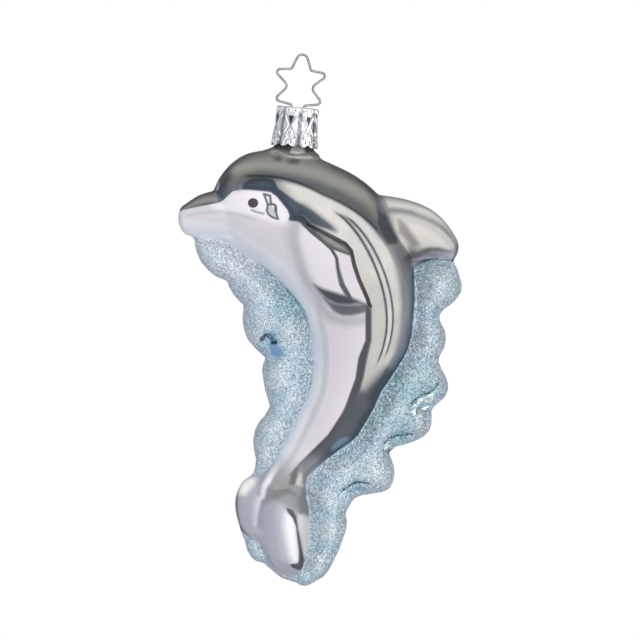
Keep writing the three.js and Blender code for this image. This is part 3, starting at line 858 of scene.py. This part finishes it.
def linear(hex_colour):
    """An sRGB hex colour as linear red, green, blue and alpha."""
    parts = [int(hex_colour[k:k + 2], 16) / 255 for k in (1, 3, 5)]
    return tuple(p / 12.92 if p <= 0.04045 else ((p + 0.055) / 1.055) ** 2.4 for p in parts) + (1.0,)


def feed(tree, node, **inputs):
    """Gives a node its inputs. Each is a value or another node's socket, named by the input's name with _
    for a space, or by its number as in_2."""
    for key, value in inputs.items():
        socket = node.inputs[int(key[3:])] if key.startswith("in_") else node.inputs[key.replace("_", " ")]
        if isinstance(value, bpy.types.NodeSocket):
            tree.links.new(value, socket)
        else:
            socket.default_value = value


def add(tree, kind, settings=None, **inputs):
    """Adds a node of a kind, with its properties and its inputs."""
    node = tree.nodes.new(kind)
    for key, value in (settings or {}).items():
        setattr(node, key, value)
    feed(tree, node, **inputs)
    return node


def new_material(name):
    """An empty material with a Principled shader on its output."""
    material = bpy.data.materials.new(name)
    material.use_nodes = True
    tree = material.node_tree
    tree.nodes.clear()
    shader = add(tree, "ShaderNodeBsdfPrincipled")
    add(tree, "ShaderNodeOutputMaterial", Surface=shader.outputs[0])
    return material, tree, shader


def mix(tree, share, first, second):
    """A colour mix: first where share is 0, second where it is 1."""
    return add(tree, "ShaderNodeMix", {"data_type": "RGBA"}, in_0=share, in_6=first, in_7=second).outputs[2]


def mix_numbers(tree, share, first, second):
    """A number mix: first where share is 0, second where it is 1."""
    return add(tree, "ShaderNodeMix", in_0=share, in_2=first, in_3=second).outputs[0]


def maths(tree, operation, first, second=0.0, clamp=False):
    """One arithmetic step on one or two numbers."""
    node = add(tree, "ShaderNodeMath", {"operation": operation, "use_clamp": clamp}, in_0=first, in_1=second)
    return node.outputs[0]


def times(tree, first, second):
    """The product of two numbers."""
    return maths(tree, "MULTIPLY", first, second)


def vectors(tree, operation, first, second=(0, 0, 0), **inputs):
    """One arithmetic step on one or two vectors. The outputs are a vector and a number."""
    node = add(tree, "ShaderNodeVectorMath", {"operation": operation}, in_0=first, in_1=second, **inputs)
    return node.outputs


def stored(tree, name):
    """The number that the mesh holds under a name at each vertex."""
    return add(tree, "ShaderNodeAttribute", {"attribute_name": name}).outputs["Fac"]


def ramp(tree, value, low, high, to_low=0.0, to_high=1.0):
    """A smooth step of a number from low to high."""
    node = add(tree, "ShaderNodeMapRange", {"interpolation_type": "SMOOTHSTEP"}, Value=value, From_Min=low,
               From_Max=high, To_Min=to_low, To_Max=to_high)
    return node.outputs[0]


# Layers over a colour, each over the ones before: an area, where its soft edge begins and ends in mm inside
# the area's outline, and a colour. They hold lacquer and painted reflections, highlights and shade.
# The back's grey lacquer and cape, with painted reflections, highlights, sheen and shade over them
BACK_LACQUER_AND_PAINTED_LIGHT = [
    ("cape", -1.2, 0.3, "#777c81"), ("cape", 0.8, 3.0, "#999994"), ("forehead_shadow", -1.8, 1.2, "#4b525d"),
    ("beak_top", -0.8, 0.8, "#929394"), ("glint", -0.3, 0.3, "#ffffff"), ("flare_dark_reflection", -0.9, 0.7, "#6c6c68"),
    ("fin_face_sheen", -1.4, 1.2, "#b2b1ad"), ("fin_top_highlight", -0.6, 0.3, "#9a9d9f"),
    ("fin_top_highlight", 0.3, 1.6, "#dddedc"), ("fin_dish_shade", -1.1, 0.5, "#807d7b"), ("joint", -1.2, 0.8, "#918f95"),
    ("fin_shadow", -0.7, 0.6, "#353b40"),
]
# Painted shade on the back near the wave, by distance inside the dolphin's outline, from the outline's side
BACK_RIM = [(3.2, 1.4, "#989ba4"), (1.2, 0.1, "#656f7b")]
# The underside of the back: painted shade and dark reflections, and a bluish patch on a roll, over the rim's
# painted shade
UNDERSIDE_PAINTED_SHADE = [
    ("lower_back_shade", -2.4, 1.0, "#4a5058"), ("belly_edge_shade", -0.5, 0.3, "#47494e"), ("roll", -0.9, 0.4, "#6c8596"),
]
# The tail's own lacquer, with painted highlights, dark reflections, sheen and shade over it, and a paler
# groove
FLUKE_LACQUER_AND_PAINTED_LIGHT = [
    ("tail_shade", -2.0, 1.5, "#8d8b8e"), ("far_fluke_rim_shade", -0.5, 0.5, "#6a6c74"),
    ("far_fluke_highlight", -1.2, 0.9, "#f4f4f2"), ("fluke_groove", -0.8, 0.6, "#b9bbc6"),
    ("fluke_root_reflection", -1.0, 0.8, "#85888a"), ("root_dark_reflection", -0.8, 0.5, "#5f5d60"),
    ("root_highlight", -0.6, 0.4, "#c4c1be"), ("fluke_right_sheen", -0.7, 0.7, "#e0ddd8"),
    ("fluke_highlight", -1.7, 0.9, "#dfdee4"), ("fluke_reflection_line", -0.3, 0.2, "#474c54"),
    ("tail_ridge_highlight", -0.7, 0.4, "#f0eef2"),
]
# Over the white lacquer: the face's and the flipper's white, and painted shade beside and below the flipper
WHITE_LACQUER_AND_PAINTED_SHADE = [
    ("face", -1.4, 0.9, "#e9e4ea"), ("flipper", -0.9, 0.7, "#d9d5da"),
    ("beside_flipper_shadow", -2.0, 1.4, "#b9b6be"), ("below_flipper_shade", -1.6, 0.8, "#a9a8af"),
]
# Painted shadow over the white lacquer, where it is hollow under the flipper
FLIPPER_PAINTED_SHADOWS = [("flipper_shade", -0.7, 0.4, "#5c5e66"), ("flipper_shadow", -0.7, 0.6, "#3b4149")]
# Over the edge between the grey back and the white belly, and on the neck: painted reflections and shade,
# a painted highlight on the neck, and the slate stripe, partly dark lacquer and partly painted reflection
SKIN_PAINTED_LIGHT_AND_SLATE = [
    ("lens", -0.3, 0.15, "#474a49"), ("lens", 0.2, 1.3, "#868a86"), ("slate", -0.35, 0.45, "#4a535f"),
    ("slate", 0.6, 1.6, "#57616c"), ("slate_tail", -1.6, 0.9, "#41484f"), ("neck", -0.4, 0.4, "#585b5a"),
    ("neck_highlight", -0.3, 0.3, "#b3b0af"),
]
# The white lacquer's painted light and shade across the belly, by distance inside the dolphin's outline
WHITE_BY_DEPTH = [(0.0, 1.0, "#d3d8e1"), (1.0, 2.2, "#d1d4dc"), (3.5, 5.0, "#cdc8ce")]
# The glitter: how fine its flakes are, how far they tilt, how much of their own tint they show over the
# bed, and from which share of them on each tint holds
FLAKES_PER_METRE = 3400.0
FLAKE_TILT = 1.25
FLAKE_SHARE = 0.42
FLAKE_TINTS = [
    (0.0, "#b9cddd"), (0.25, "#a3c3d6"), (0.42, "#dde5e8"), (0.58, "#84bcc2"), (0.74, "#d6ccda"),
    (0.83, "#a9b8dc"), (0.92, "#a8c8b4"),
]
# Where the belly's grey line of painted shade begins and is full, in mm inside the outline, and where it
# fades out
BELLY_SHADE_LINE = (2.0, 2.9, 3.5, 4.6)
# Heights in metres between which the belly's painted shade line, the wider dark edge of the flipper's face,
# which is a painted reflection, and the tail's own lacquer come in
BELLY_SHADE_COMES_IN = (-0.056, -0.066)
WIDE_EDGE_COMES_IN = (-0.049, -0.06)
TAIL_COMES_IN = (-0.098, -0.107)


def painted(tree, area, low=-0.12, high=0.12):
    """0 outside a painted area and 1 inside it: a smooth step over the distance in mm from its edge."""
    return ramp(tree, stored(tree, area), low, high)


def over(tree, base, share, colour):
    """A base colour with another laid over it by a share."""
    return mix(tree, share, base, linear(colour))


def layered(tree, base, layers):
    """A base colour with layers over it, in their order: lacquer, or painted reflections, highlights and
    shade.
    """
    for area, low, high, colour in layers:
        base = over(tree, base, painted(tree, area, low, high), colour)
    return base


def edge_of(tree, area, half_width):
    """1 along a painted area's edge, 0 away from it."""
    distance = maths(tree, "ABSOLUTE", stored(tree, area))
    return ramp(tree, distance, half_width + 0.14, half_width - 0.1)


def grey_back(tree, where, inside, tail):
    """The back's thin grey lacquer with its painted reflections, highlights and shade, and the tail's own."""
    cloud = add(tree, "ShaderNodeTexNoise", Vector=where, Scale=120.0, Detail=3.0).outputs[0]
    back = mix(tree, ramp(tree, cloud, 0.35, 0.65), linear("#a5a4a0"), linear("#9c9c9b"))
    back = layered(tree, back, BACK_LACQUER_AND_PAINTED_LIGHT)
    for deep, shallow, colour in BACK_RIM:
        back = over(tree, back, ramp(tree, inside, deep, shallow), colour)
    back = layered(tree, back, UNDERSIDE_PAINTED_SHADE)
    return mix(tree, tail, back, layered(tree, linear("#a9abb5"), FLUKE_LACQUER_AND_PAINTED_LIGHT))


def white_belly(tree, height, inside, grain):
    """The frosted white lacquer of the belly and the face, with painted light and shade, painted shadow under
    the flipper, and a fine speckle.
    """
    white = linear("#cdd3dd")
    for low, high, colour in WHITE_BY_DEPTH:
        white = over(tree, white, ramp(tree, inside, low, high), colour)
    # A grey line of painted shade down the belly, lower down only
    fold_begins, fold_full, fold_fades, fold_ends = BELLY_SHADE_LINE
    fold = times(tree, ramp(tree, inside, fold_begins, fold_full), ramp(tree, inside, fold_ends, fold_fades))
    white = over(tree, white, times(tree, fold, ramp(tree, height, *BELLY_SHADE_COMES_IN)), "#bbbcc3")
    white = layered(tree, white, WHITE_LACQUER_AND_PAINTED_SHADE)
    white = over(tree, white, ramp(tree, grain, 0.3, 0.7, 0.0, 0.1), "#f4eef2")
    return layered(tree, white, FLIPPER_PAINTED_SHADOWS)


def skin_edges(tree, skin, height):
    """The skin with dark lines along the flipper's face and foot, which are painted reflections, and the
    layers of painted reflection and shade, and the slate stripe, over both colours.
    """
    rim_share = painted(tree, "flipper_rim", -0.6, 0.4)
    lower_down = ramp(tree, height, *WIDE_EDGE_COMES_IN)
    face_edge = mix_numbers(tree, lower_down, edge_of(tree, "flipper", 0.38), edge_of(tree, "flipper", 0.7))
    # Dark lines along the flipper's face and foot: painted reflections
    skin = over(tree, skin, times(tree, face_edge, rim_share), "#3d444d")
    skin = over(tree, skin, times(tree, edge_of(tree, "flipper_foot", 0.5), rim_share), "#383638")
    return layered(tree, skin, SKIN_PAINTED_LIGHT_AND_SLATE)


def on_plane(pixel):
    """A pixel of the photograph as (across, 0, up) in metres."""
    return np.insert((from_photo(pixel) + MOUTH) * MM, 1, 0.0)


def strokes_along(line):
    """The straight strokes between the points of a line."""
    return list(zip(line, line[1:]))


def from_strokes(tree, flat, strokes):
    """Distance in metres to the nearest of some straight strokes, each given by its two ends in pixels."""
    nearest = 1.0
    for start, end in strokes:
        first = on_plane(start)
        run = on_plane(end) - first
        ahead = vectors(tree, "SUBTRACT", flat, tuple(first))[0]
        share = vectors(tree, "DOT_PRODUCT", ahead, tuple(run / (run @ run)))["Value"]
        foot = vectors(tree, "SCALE", tuple(run), Scale=maths(tree, "ADD", share, 0.0, clamp=True))[0]
        nearest = maths(tree, "MINIMUM", vectors(tree, "DISTANCE", ahead, foot)["Value"], nearest)
    return nearest


def drawn_face(tree, skin, where):
    """The skin with the eye, the gill mark, and painted shade along the fold under the eye and the mouth, on
    both flanks.
    """
    flat = vectors(tree, "MULTIPLY", where, (1, 0, 1))[0]
    eye_width, eye_height = np.array(EYE_RADII) * MM_PER_PIXEL * MM
    eye = add(tree, "ShaderNodeMapping", {"vector_type": "TEXTURE"}, Vector=flat,
              Location=tuple(on_plane(EYE)), Scale=(eye_width, 1.0, eye_height))
    from_eye = vectors(tree, "LENGTH", eye.outputs[0])["Value"]
    skin = over(tree, skin, ramp(tree, from_eye, 1.06, 0.94), "#43383b")
    gill_line, gill_back = (strokes_along(spline(line, per_span=2)) for line in (GILL_LINE, GILL_BACK))
    for strokes, outer, inner, strength, colour in (
        (GILL_FILL, 1.0, 0.4, 1.0, "#bfc1c3"),
        (gill_line + gill_back + GILL_BARS, 0.5, 0.08, 1.0, "#545e5f"),
        # Painted shade along the grooves of the fold under the eye and of the mouth
        (strokes_along(EYE_FOLD), 0.5, 0.1, 1.0, "#a7a3ab"),
        (strokes_along(MOUTH_LINE), 0.8, 0.0, 0.55, "#b7b7c0"),
    ):
        distance = from_strokes(tree, flat, strokes)
        skin = over(tree, skin, ramp(tree, distance, outer * MM, inner * MM, 0.0, strength), colour)
    return skin


def glitter_bed(tree, where):
    """The wave's pale blue under the glitter, with painted light and shade: paler on the crests, with a
    painted sheen along the shore, greyer at the right and whiter at the upper left, with greener and with
    paler drifts."""
    across, _, height = add(tree, "ShaderNodeSeparateXYZ", in_0=where).outputs
    # Paler on the crests: painted light
    bed = mix(tree, ramp(tree, stored(tree, "crest"), -0.8, 0.9), linear("#8aadc2"), linear("#d3dade"))
    right_side_shade = times(tree, ramp(tree, across, 0.018, 0.03, 0.0, 0.36), ramp(tree, height, -0.099, -0.09))
    bed = over(tree, bed, right_side_shade, "#7896a2")
    upper_left_light = times(tree, ramp(tree, across, -0.008, -0.015, 0.0, 0.6), ramp(tree, height, -0.066, -0.054))
    bed = over(tree, bed, upper_left_light, "#eeeaf2")
    drift = add(tree, "ShaderNodeTexNoise", {"noise_dimensions": "4D"}, Vector=where, W=3.0, Scale=75.0,
                Detail=2.0)
    greener, paler, _ = add(tree, "ShaderNodeSeparateColor", in_0=drift.outputs["Color"]).outputs
    bed = over(tree, bed, ramp(tree, greener, 0.48, 0.66, 0.0, 0.65), "#7fb0b4")
    bed = over(tree, bed, ramp(tree, paler, 0.5, 0.68, 0.0, 0.6), "#d3d3de")
    # Paler along the shore: painted sheen
    return over(tree, bed, ramp(tree, stored(tree, "wave"), 1.6, 0.1, 0.0, 0.7), "#cdd2e4")


def glittered_wave(tree, where, grain, flakes):
    """The bed with its flakes' tints over it, bare silver where the glitter is gone, and painted shade in the
    folds.
    """
    tint = add(tree, "ShaderNodeSeparateColor", in_0=flakes).outputs[0]
    tints = add(tree, "ShaderNodeValToRGB", in_0=tint)
    tints.color_ramp.interpolation = "CONSTANT"
    stops = tints.color_ramp.elements
    while len(stops) < len(FLAKE_TINTS):
        stops.new(0.5)
    for stop, (position, colour) in zip(stops, FLAKE_TINTS):
        stop.position = position
        stop.color = linear(colour)
    wave = mix(tree, FLAKE_SHARE, glitter_bed(tree, where), tints.outputs[0])
    wave = over(tree, wave, painted(tree, "bare", -0.2, 0.8), "#7f9fbe")
    wave = over(tree, wave, painted(tree, "shards"), "#c3d2d6")
    # Painted shade darkening the wave's folds, broken by the grain
    broken = ramp(tree, grain, 0.38, 0.5)
    return over(tree, wave, times(tree, ramp(tree, stored(tree, "crease"), -0.36, -0.6), broken), "#3d5866")


def lacquered_glass():
    """Mould-blown glass, silvered inside and lacquered outside. The back's grey lacquer is thin and clear, so
    the silver under it mirrors the room softly. The belly's and face's white lacquer is frosted. Over both,
    many reflections, highlights and shades are painted into the colour. The wave is pale blue under glitter:
    flakes of 0.3 mm, each tilted its own way."""
    material, tree, shader = new_material("silvered_lacquered_glass")
    where = add(tree, "ShaderNodeTexCoord").outputs["Object"]
    height = add(tree, "ShaderNodeSeparateXYZ", in_0=where).outputs[2]
    grain = add(tree, "ShaderNodeTexNoise", Vector=where, Scale=2600.0, Detail=2.0).outputs[0]
    flakes = add(tree, "ShaderNodeTexVoronoi", Vector=where, Scale=FLAKES_PER_METRE).outputs["Color"]
    inside = stored(tree, "dolphin")
    tail = ramp(tree, height, *TAIL_COMES_IN)

    is_white = times(tree, painted(tree, "white"), maths(tree, "SUBTRACT", 1.0, tail))
    is_white = times(tree, is_white, painted(tree, "belly_edge_shade", 0.3, -0.3))
    skin = mix(tree, is_white, grey_back(tree, where, inside, tail), white_belly(tree, height, inside, grain))
    skin = drawn_face(tree, skin_edges(tree, skin, height), where)
    is_dolphin = painted(tree, "dolphin")
    feed(tree, shader, Base_Color=mix(tree, is_dolphin, glittered_wave(tree, where, grain, flakes), skin))

    is_bare = maths(tree, "MAXIMUM", painted(tree, "bare"), painted(tree, "shards"))

    def choose(on_wave, on_bare, on_back, on_white):
        """A number that has its own value on each of the four finishes."""
        wave_value = mix_numbers(tree, is_bare, on_wave, on_bare)
        skin_value = mix_numbers(tree, is_white, on_back, on_white)
        return mix_numbers(tree, is_dolphin, wave_value, skin_value)

    veiled = times(tree, tail, 0.6)
    for area, share in (("neck", 0.7), ("fin_shadow", 0.8), ("lower_back_shade", 0.4)):
        veiled = maths(tree, "MAXIMUM", veiled, times(tree, painted(tree, area, -0.7, 0.6), share))
    feed(tree, shader, Metallic=choose(0.5, 1.0, maths(tree, "SUBTRACT", 1.0, veiled), 0.08))
    satin = maths(tree, "MAXIMUM", tail, ramp(tree, inside, 3.2, 1.6))
    for area in ("fin_zone", "shoulder", "belly_edge_shade", "lower_back_shade"):
        satin = maths(tree, "MAXIMUM", satin, painted(tree, area, -1.0, 1.0))
    feed(tree, shader, Roughness=choose(0.35, 0.1, ramp(tree, satin, 0.0, 1.0, 0.1, 0.36), 0.42))

    normal = add(tree, "ShaderNodeNewGeometry").outputs["Normal"]
    turned = vectors(tree, "SUBTRACT", flakes, (0.5, 0.5, 0.5))[0]
    turned = vectors(tree, "SCALE", turned, Scale=choose(FLAKE_TILT, 0.0, 0.0, 0.0))[0]
    feed(tree, shader, Normal=vectors(tree, "NORMALIZE", vectors(tree, "ADD", normal, turned)[0])[0])
    return material


def bright_metal(name, colour, shade_colour, hollow_shade_colour, roughness, cloud_mm):
    """Bright metal with a slightly uneven finish: its colour and roughness drift over patches of a size, and
    its colour darkens in the hollows that its mesh names, as painted shade and dark reflections."""
    material, tree, shader = new_material(name)
    where = add(tree, "ShaderNodeTexCoord").outputs["Object"]
    cloud = add(tree, "ShaderNodeTexNoise", Vector=where, Scale=1 / (cloud_mm * MM), Detail=3.0).outputs[0]
    shade = mix(tree, ramp(tree, cloud, 0.3, 0.7), linear(colour), linear(shade_colour))
    hollow = stored(tree, "hollow")
    # Painted shade and dark reflections in the hollows
    shade = mix(tree, hollow, shade, linear(hollow_shade_colour))
    drifting = ramp(tree, cloud, 0.2, 0.8, roughness * 0.7, roughness * 1.4)
    feed(tree, shader, Base_Color=shade, Metallic=1.0, Roughness=drifting)
    return material


def place(piece, node, material):
    """The piece stands for a CAD node: it takes the given material, rides on the body, and the node is
    hidden.
    """
    piece.data.materials.append(material)
    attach(piece, "root")
    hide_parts(node)


# The two lamps: name, place in metres, width in metres and watts
SOFTBOXES = [("front_softbox", (-0.5, -1.0, 0.45), 0.8, 1.5), ("back_softbox", (0.5, 1.0, 0.5), 0.9, 2.5)]
FIGURE_MIDDLE = (0, 0, -0.06)
FLOOR_RADIUS = 1.4
FLOOR_HEIGHT = -0.3


def pale_floor():
    """A round floor below the ornament, which its glass doesn't mirror."""
    floor_mesh = bpy.data.meshes.new("floor")
    angle = np.linspace(0, 2 * math.pi, 64, endpoint=False)
    ring = np.column_stack([FLOOR_RADIUS * np.cos(angle), FLOOR_RADIUS * np.sin(angle),
                            np.full_like(angle, FLOOR_HEIGHT)])
    floor_mesh.from_pydata(ring.tolist(), [], [list(range(len(ring)))])
    floor = bpy.data.objects.new("floor", floor_mesh)
    bpy.context.scene.collection.objects.link(floor)
    # Matt white board: pale and without a shine, so that the floor stays behind the object
    material, tree, shader = new_material("pale_matt_floor")
    feed(tree, shader, Base_Color=linear("#f4f4f4"), Roughness=0.9)
    floor.data.materials.append(material)
    floor.visible_glossy = False


def surroundings():
    """White surroundings for the eye, and a softbox, walls and dark lines for the glass to mirror. A
    direction is told by its degrees to the right and up from the camera's side."""
    world = bpy.data.worlds.new("studio")
    bpy.context.scene.world = world
    bpy.context.scene.view_settings.view_transform = "Standard"
    world.use_nodes = True
    tree = world.node_tree
    tree.nodes.clear()
    where = add(tree, "ShaderNodeTexCoord").outputs["Generated"]
    x, y, z = add(tree, "ShaderNodeSeparateXYZ", in_0=where).outputs
    angle = maths(tree, "ARCCOSINE", times(tree, y, -1.0))
    off_axis = times(tree, angle, 180 / math.pi)
    sideways = maths(tree, "SQRT", maths(tree, "ADD", times(tree, x, x), times(tree, z, z)))
    to_degrees = maths(tree, "DIVIDE", off_axis, maths(tree, "MAXIMUM", sideways, 0.001))
    right = times(tree, x, to_degrees)
    up = times(tree, z, to_degrees)
    spot = add(tree, "ShaderNodeCombineXYZ", in_0=right, in_1=up).outputs[0]

    def from_circle(centre, radius):
        """Degrees outside a circle drawn round a point of the view from the object to the camera."""
        return maths(tree, "SUBTRACT", vectors(tree, "DISTANCE", spot, centre + (0,))["Value"], radius)

    def within(value, low, high, soft):
        """1 between low and high, 0 outside, with soft degrees of change at each end."""
        return times(tree, ramp(tree, value, low - soft, low + soft),
                     ramp(tree, value, high + soft, high - soft))

    def grey(level, warmth=0.0):
        """A light of a level, a little warm or, below 0, cool."""
        return (level * (1 + 0.04 * warmth), level, level * (1 - 0.08 * warmth), 1.0)

    left_wall = mix(tree, ramp(tree, up, 10.0, -50.0), grey(0.86, -0.8), grey(0.9, -1.6))
    left_wall = mix(tree, ramp(tree, up, 30.0, 58.0), left_wall, grey(0.66, 0.6))
    front_box = mix(tree, ramp(tree, up, 18.0, -26.0), grey(2.1, 0.3), grey(1.62, 0.3))
    box = mix(tree, ramp(tree, right, -12.0, 4.0), left_wall, front_box)
    box = mix(tree, ramp(tree, right, 72.0, 94.0), box, grey(0.62, -1.2))
    box = mix(tree, ramp(tree, off_axis, 105.0, 135.0), box, grey(0.3, -1.0))
    ceiling = mix(tree, within(up, 70.0, 100.0, 14.0), grey(0.66, 0.6), grey(0.95, 0.3))
    ceiling = mix(tree, ramp(tree, off_axis, 105.0, 150.0), ceiling, grey(0.2, -1.0))
    over_box = from_circle((-40, -200), 258)
    room = mix(tree, ramp(tree, over_box, -1.5, 3.0), box, ceiling)
    dark = grey(0.1, -2.0)
    box_edge = times(tree, within(over_box, -1.0, 4.0, 3.0), ramp(tree, right, -58.0, -30.0))
    room = mix(tree, box_edge, room, dark)
    from_inner, from_outer = from_circle((-20, -22), 69.5), from_circle((2, -20), 60.5)
    inner_line = within(from_inner, -2.3, 2.3, 0.9)
    outer_line = within(from_outer, -2.1, 2.1, 0.9)
    gap = times(tree, ramp(tree, from_inner, 0.0, 3.0), ramp(tree, from_outer, 0.0, -3.0))
    room = mix(tree, times(tree, gap, within(up, -34.0, 30.0, 4.0)), room, grey(2.0, -0.6))
    beside = times(tree, within(up, -36.0, 34.0, 2.0), ramp(tree, right, 14.0, 20.0))
    lines = times(tree, maths(tree, "MAXIMUM", inner_line, outer_line), beside)
    room = mix(tree, lines, room, dark)
    room = mix(tree, ramp(tree, z, -0.75, -0.95), room, grey(0.7, -1.0))

    eye_ray = add(tree, "ShaderNodeLightPath").outputs["Is Camera Ray"]
    seen = mix(tree, eye_ray, room, (1.0, 1.0, 1.0, 1.0))
    background = add(tree, "ShaderNodeBackground", in_0=seen, in_1=1.0)
    add(tree, "ShaderNodeOutputWorld", Surface=background.outputs[0])


def softboxes():
    """The lamps, which light the paint and aren't mirrored themselves."""
    for name, place_m, size, watts in SOFTBOXES:
        light = bpy.data.lights.new(name, "AREA")
        light.size = size
        light.energy = watts
        lamp = bpy.data.objects.new(name, light)
        lamp.location = place_m
        aim = Vector(FIGURE_MIDDLE) - Vector(place_m)
        lamp.rotation_euler = aim.to_track_quat("-Z", "Y").to_euler()
        lamp.visible_glossy = False
        bpy.context.scene.collection.objects.link(lamp)


CAMERA_DISTANCE = 4.0
FRAME_CENTRE_PIXEL = (320, 320)
FRAME_WIDTH = 640


def camera():
    """A long lens level with the middle of the photograph, square to the mould's plane."""
    centre_x, centre_z = (from_photo(FRAME_CENTRE_PIXEL) + MOUTH) * MM
    lens = bpy.data.cameras.new("camera")
    lens.sensor_width = 36.0
    lens.lens = lens.sensor_width * CAMERA_DISTANCE / (FRAME_WIDTH * MM_PER_PIXEL * MM)
    lens.clip_end = 100.0
    eye = bpy.data.objects.new("camera", lens)
    eye.location = (centre_x, -CAMERA_DISTANCE, centre_z)
    eye.rotation_euler = (math.pi / 2, 0, 0)
    bpy.context.scene.collection.objects.link(eye)
    bpy.context.scene.camera = eye


camera()
pale_floor()
surroundings()
softboxes()
place(glass_figure(), "glass_figure", lacquered_glass())
TIN = bright_metal("pressed_tinplate", "#f2f2f3", "#dfe0e3", "#3f4145", 0.09, 2.5)
WIRE = bright_metal("drawn_steel_wire", "#a3a4a7", "#86878a", "#5c5d60", 0.22, 1.5)
place(tin_cap(), "cap", TIN)
place(wire_hanger(), "wire_hanger", WIRE)
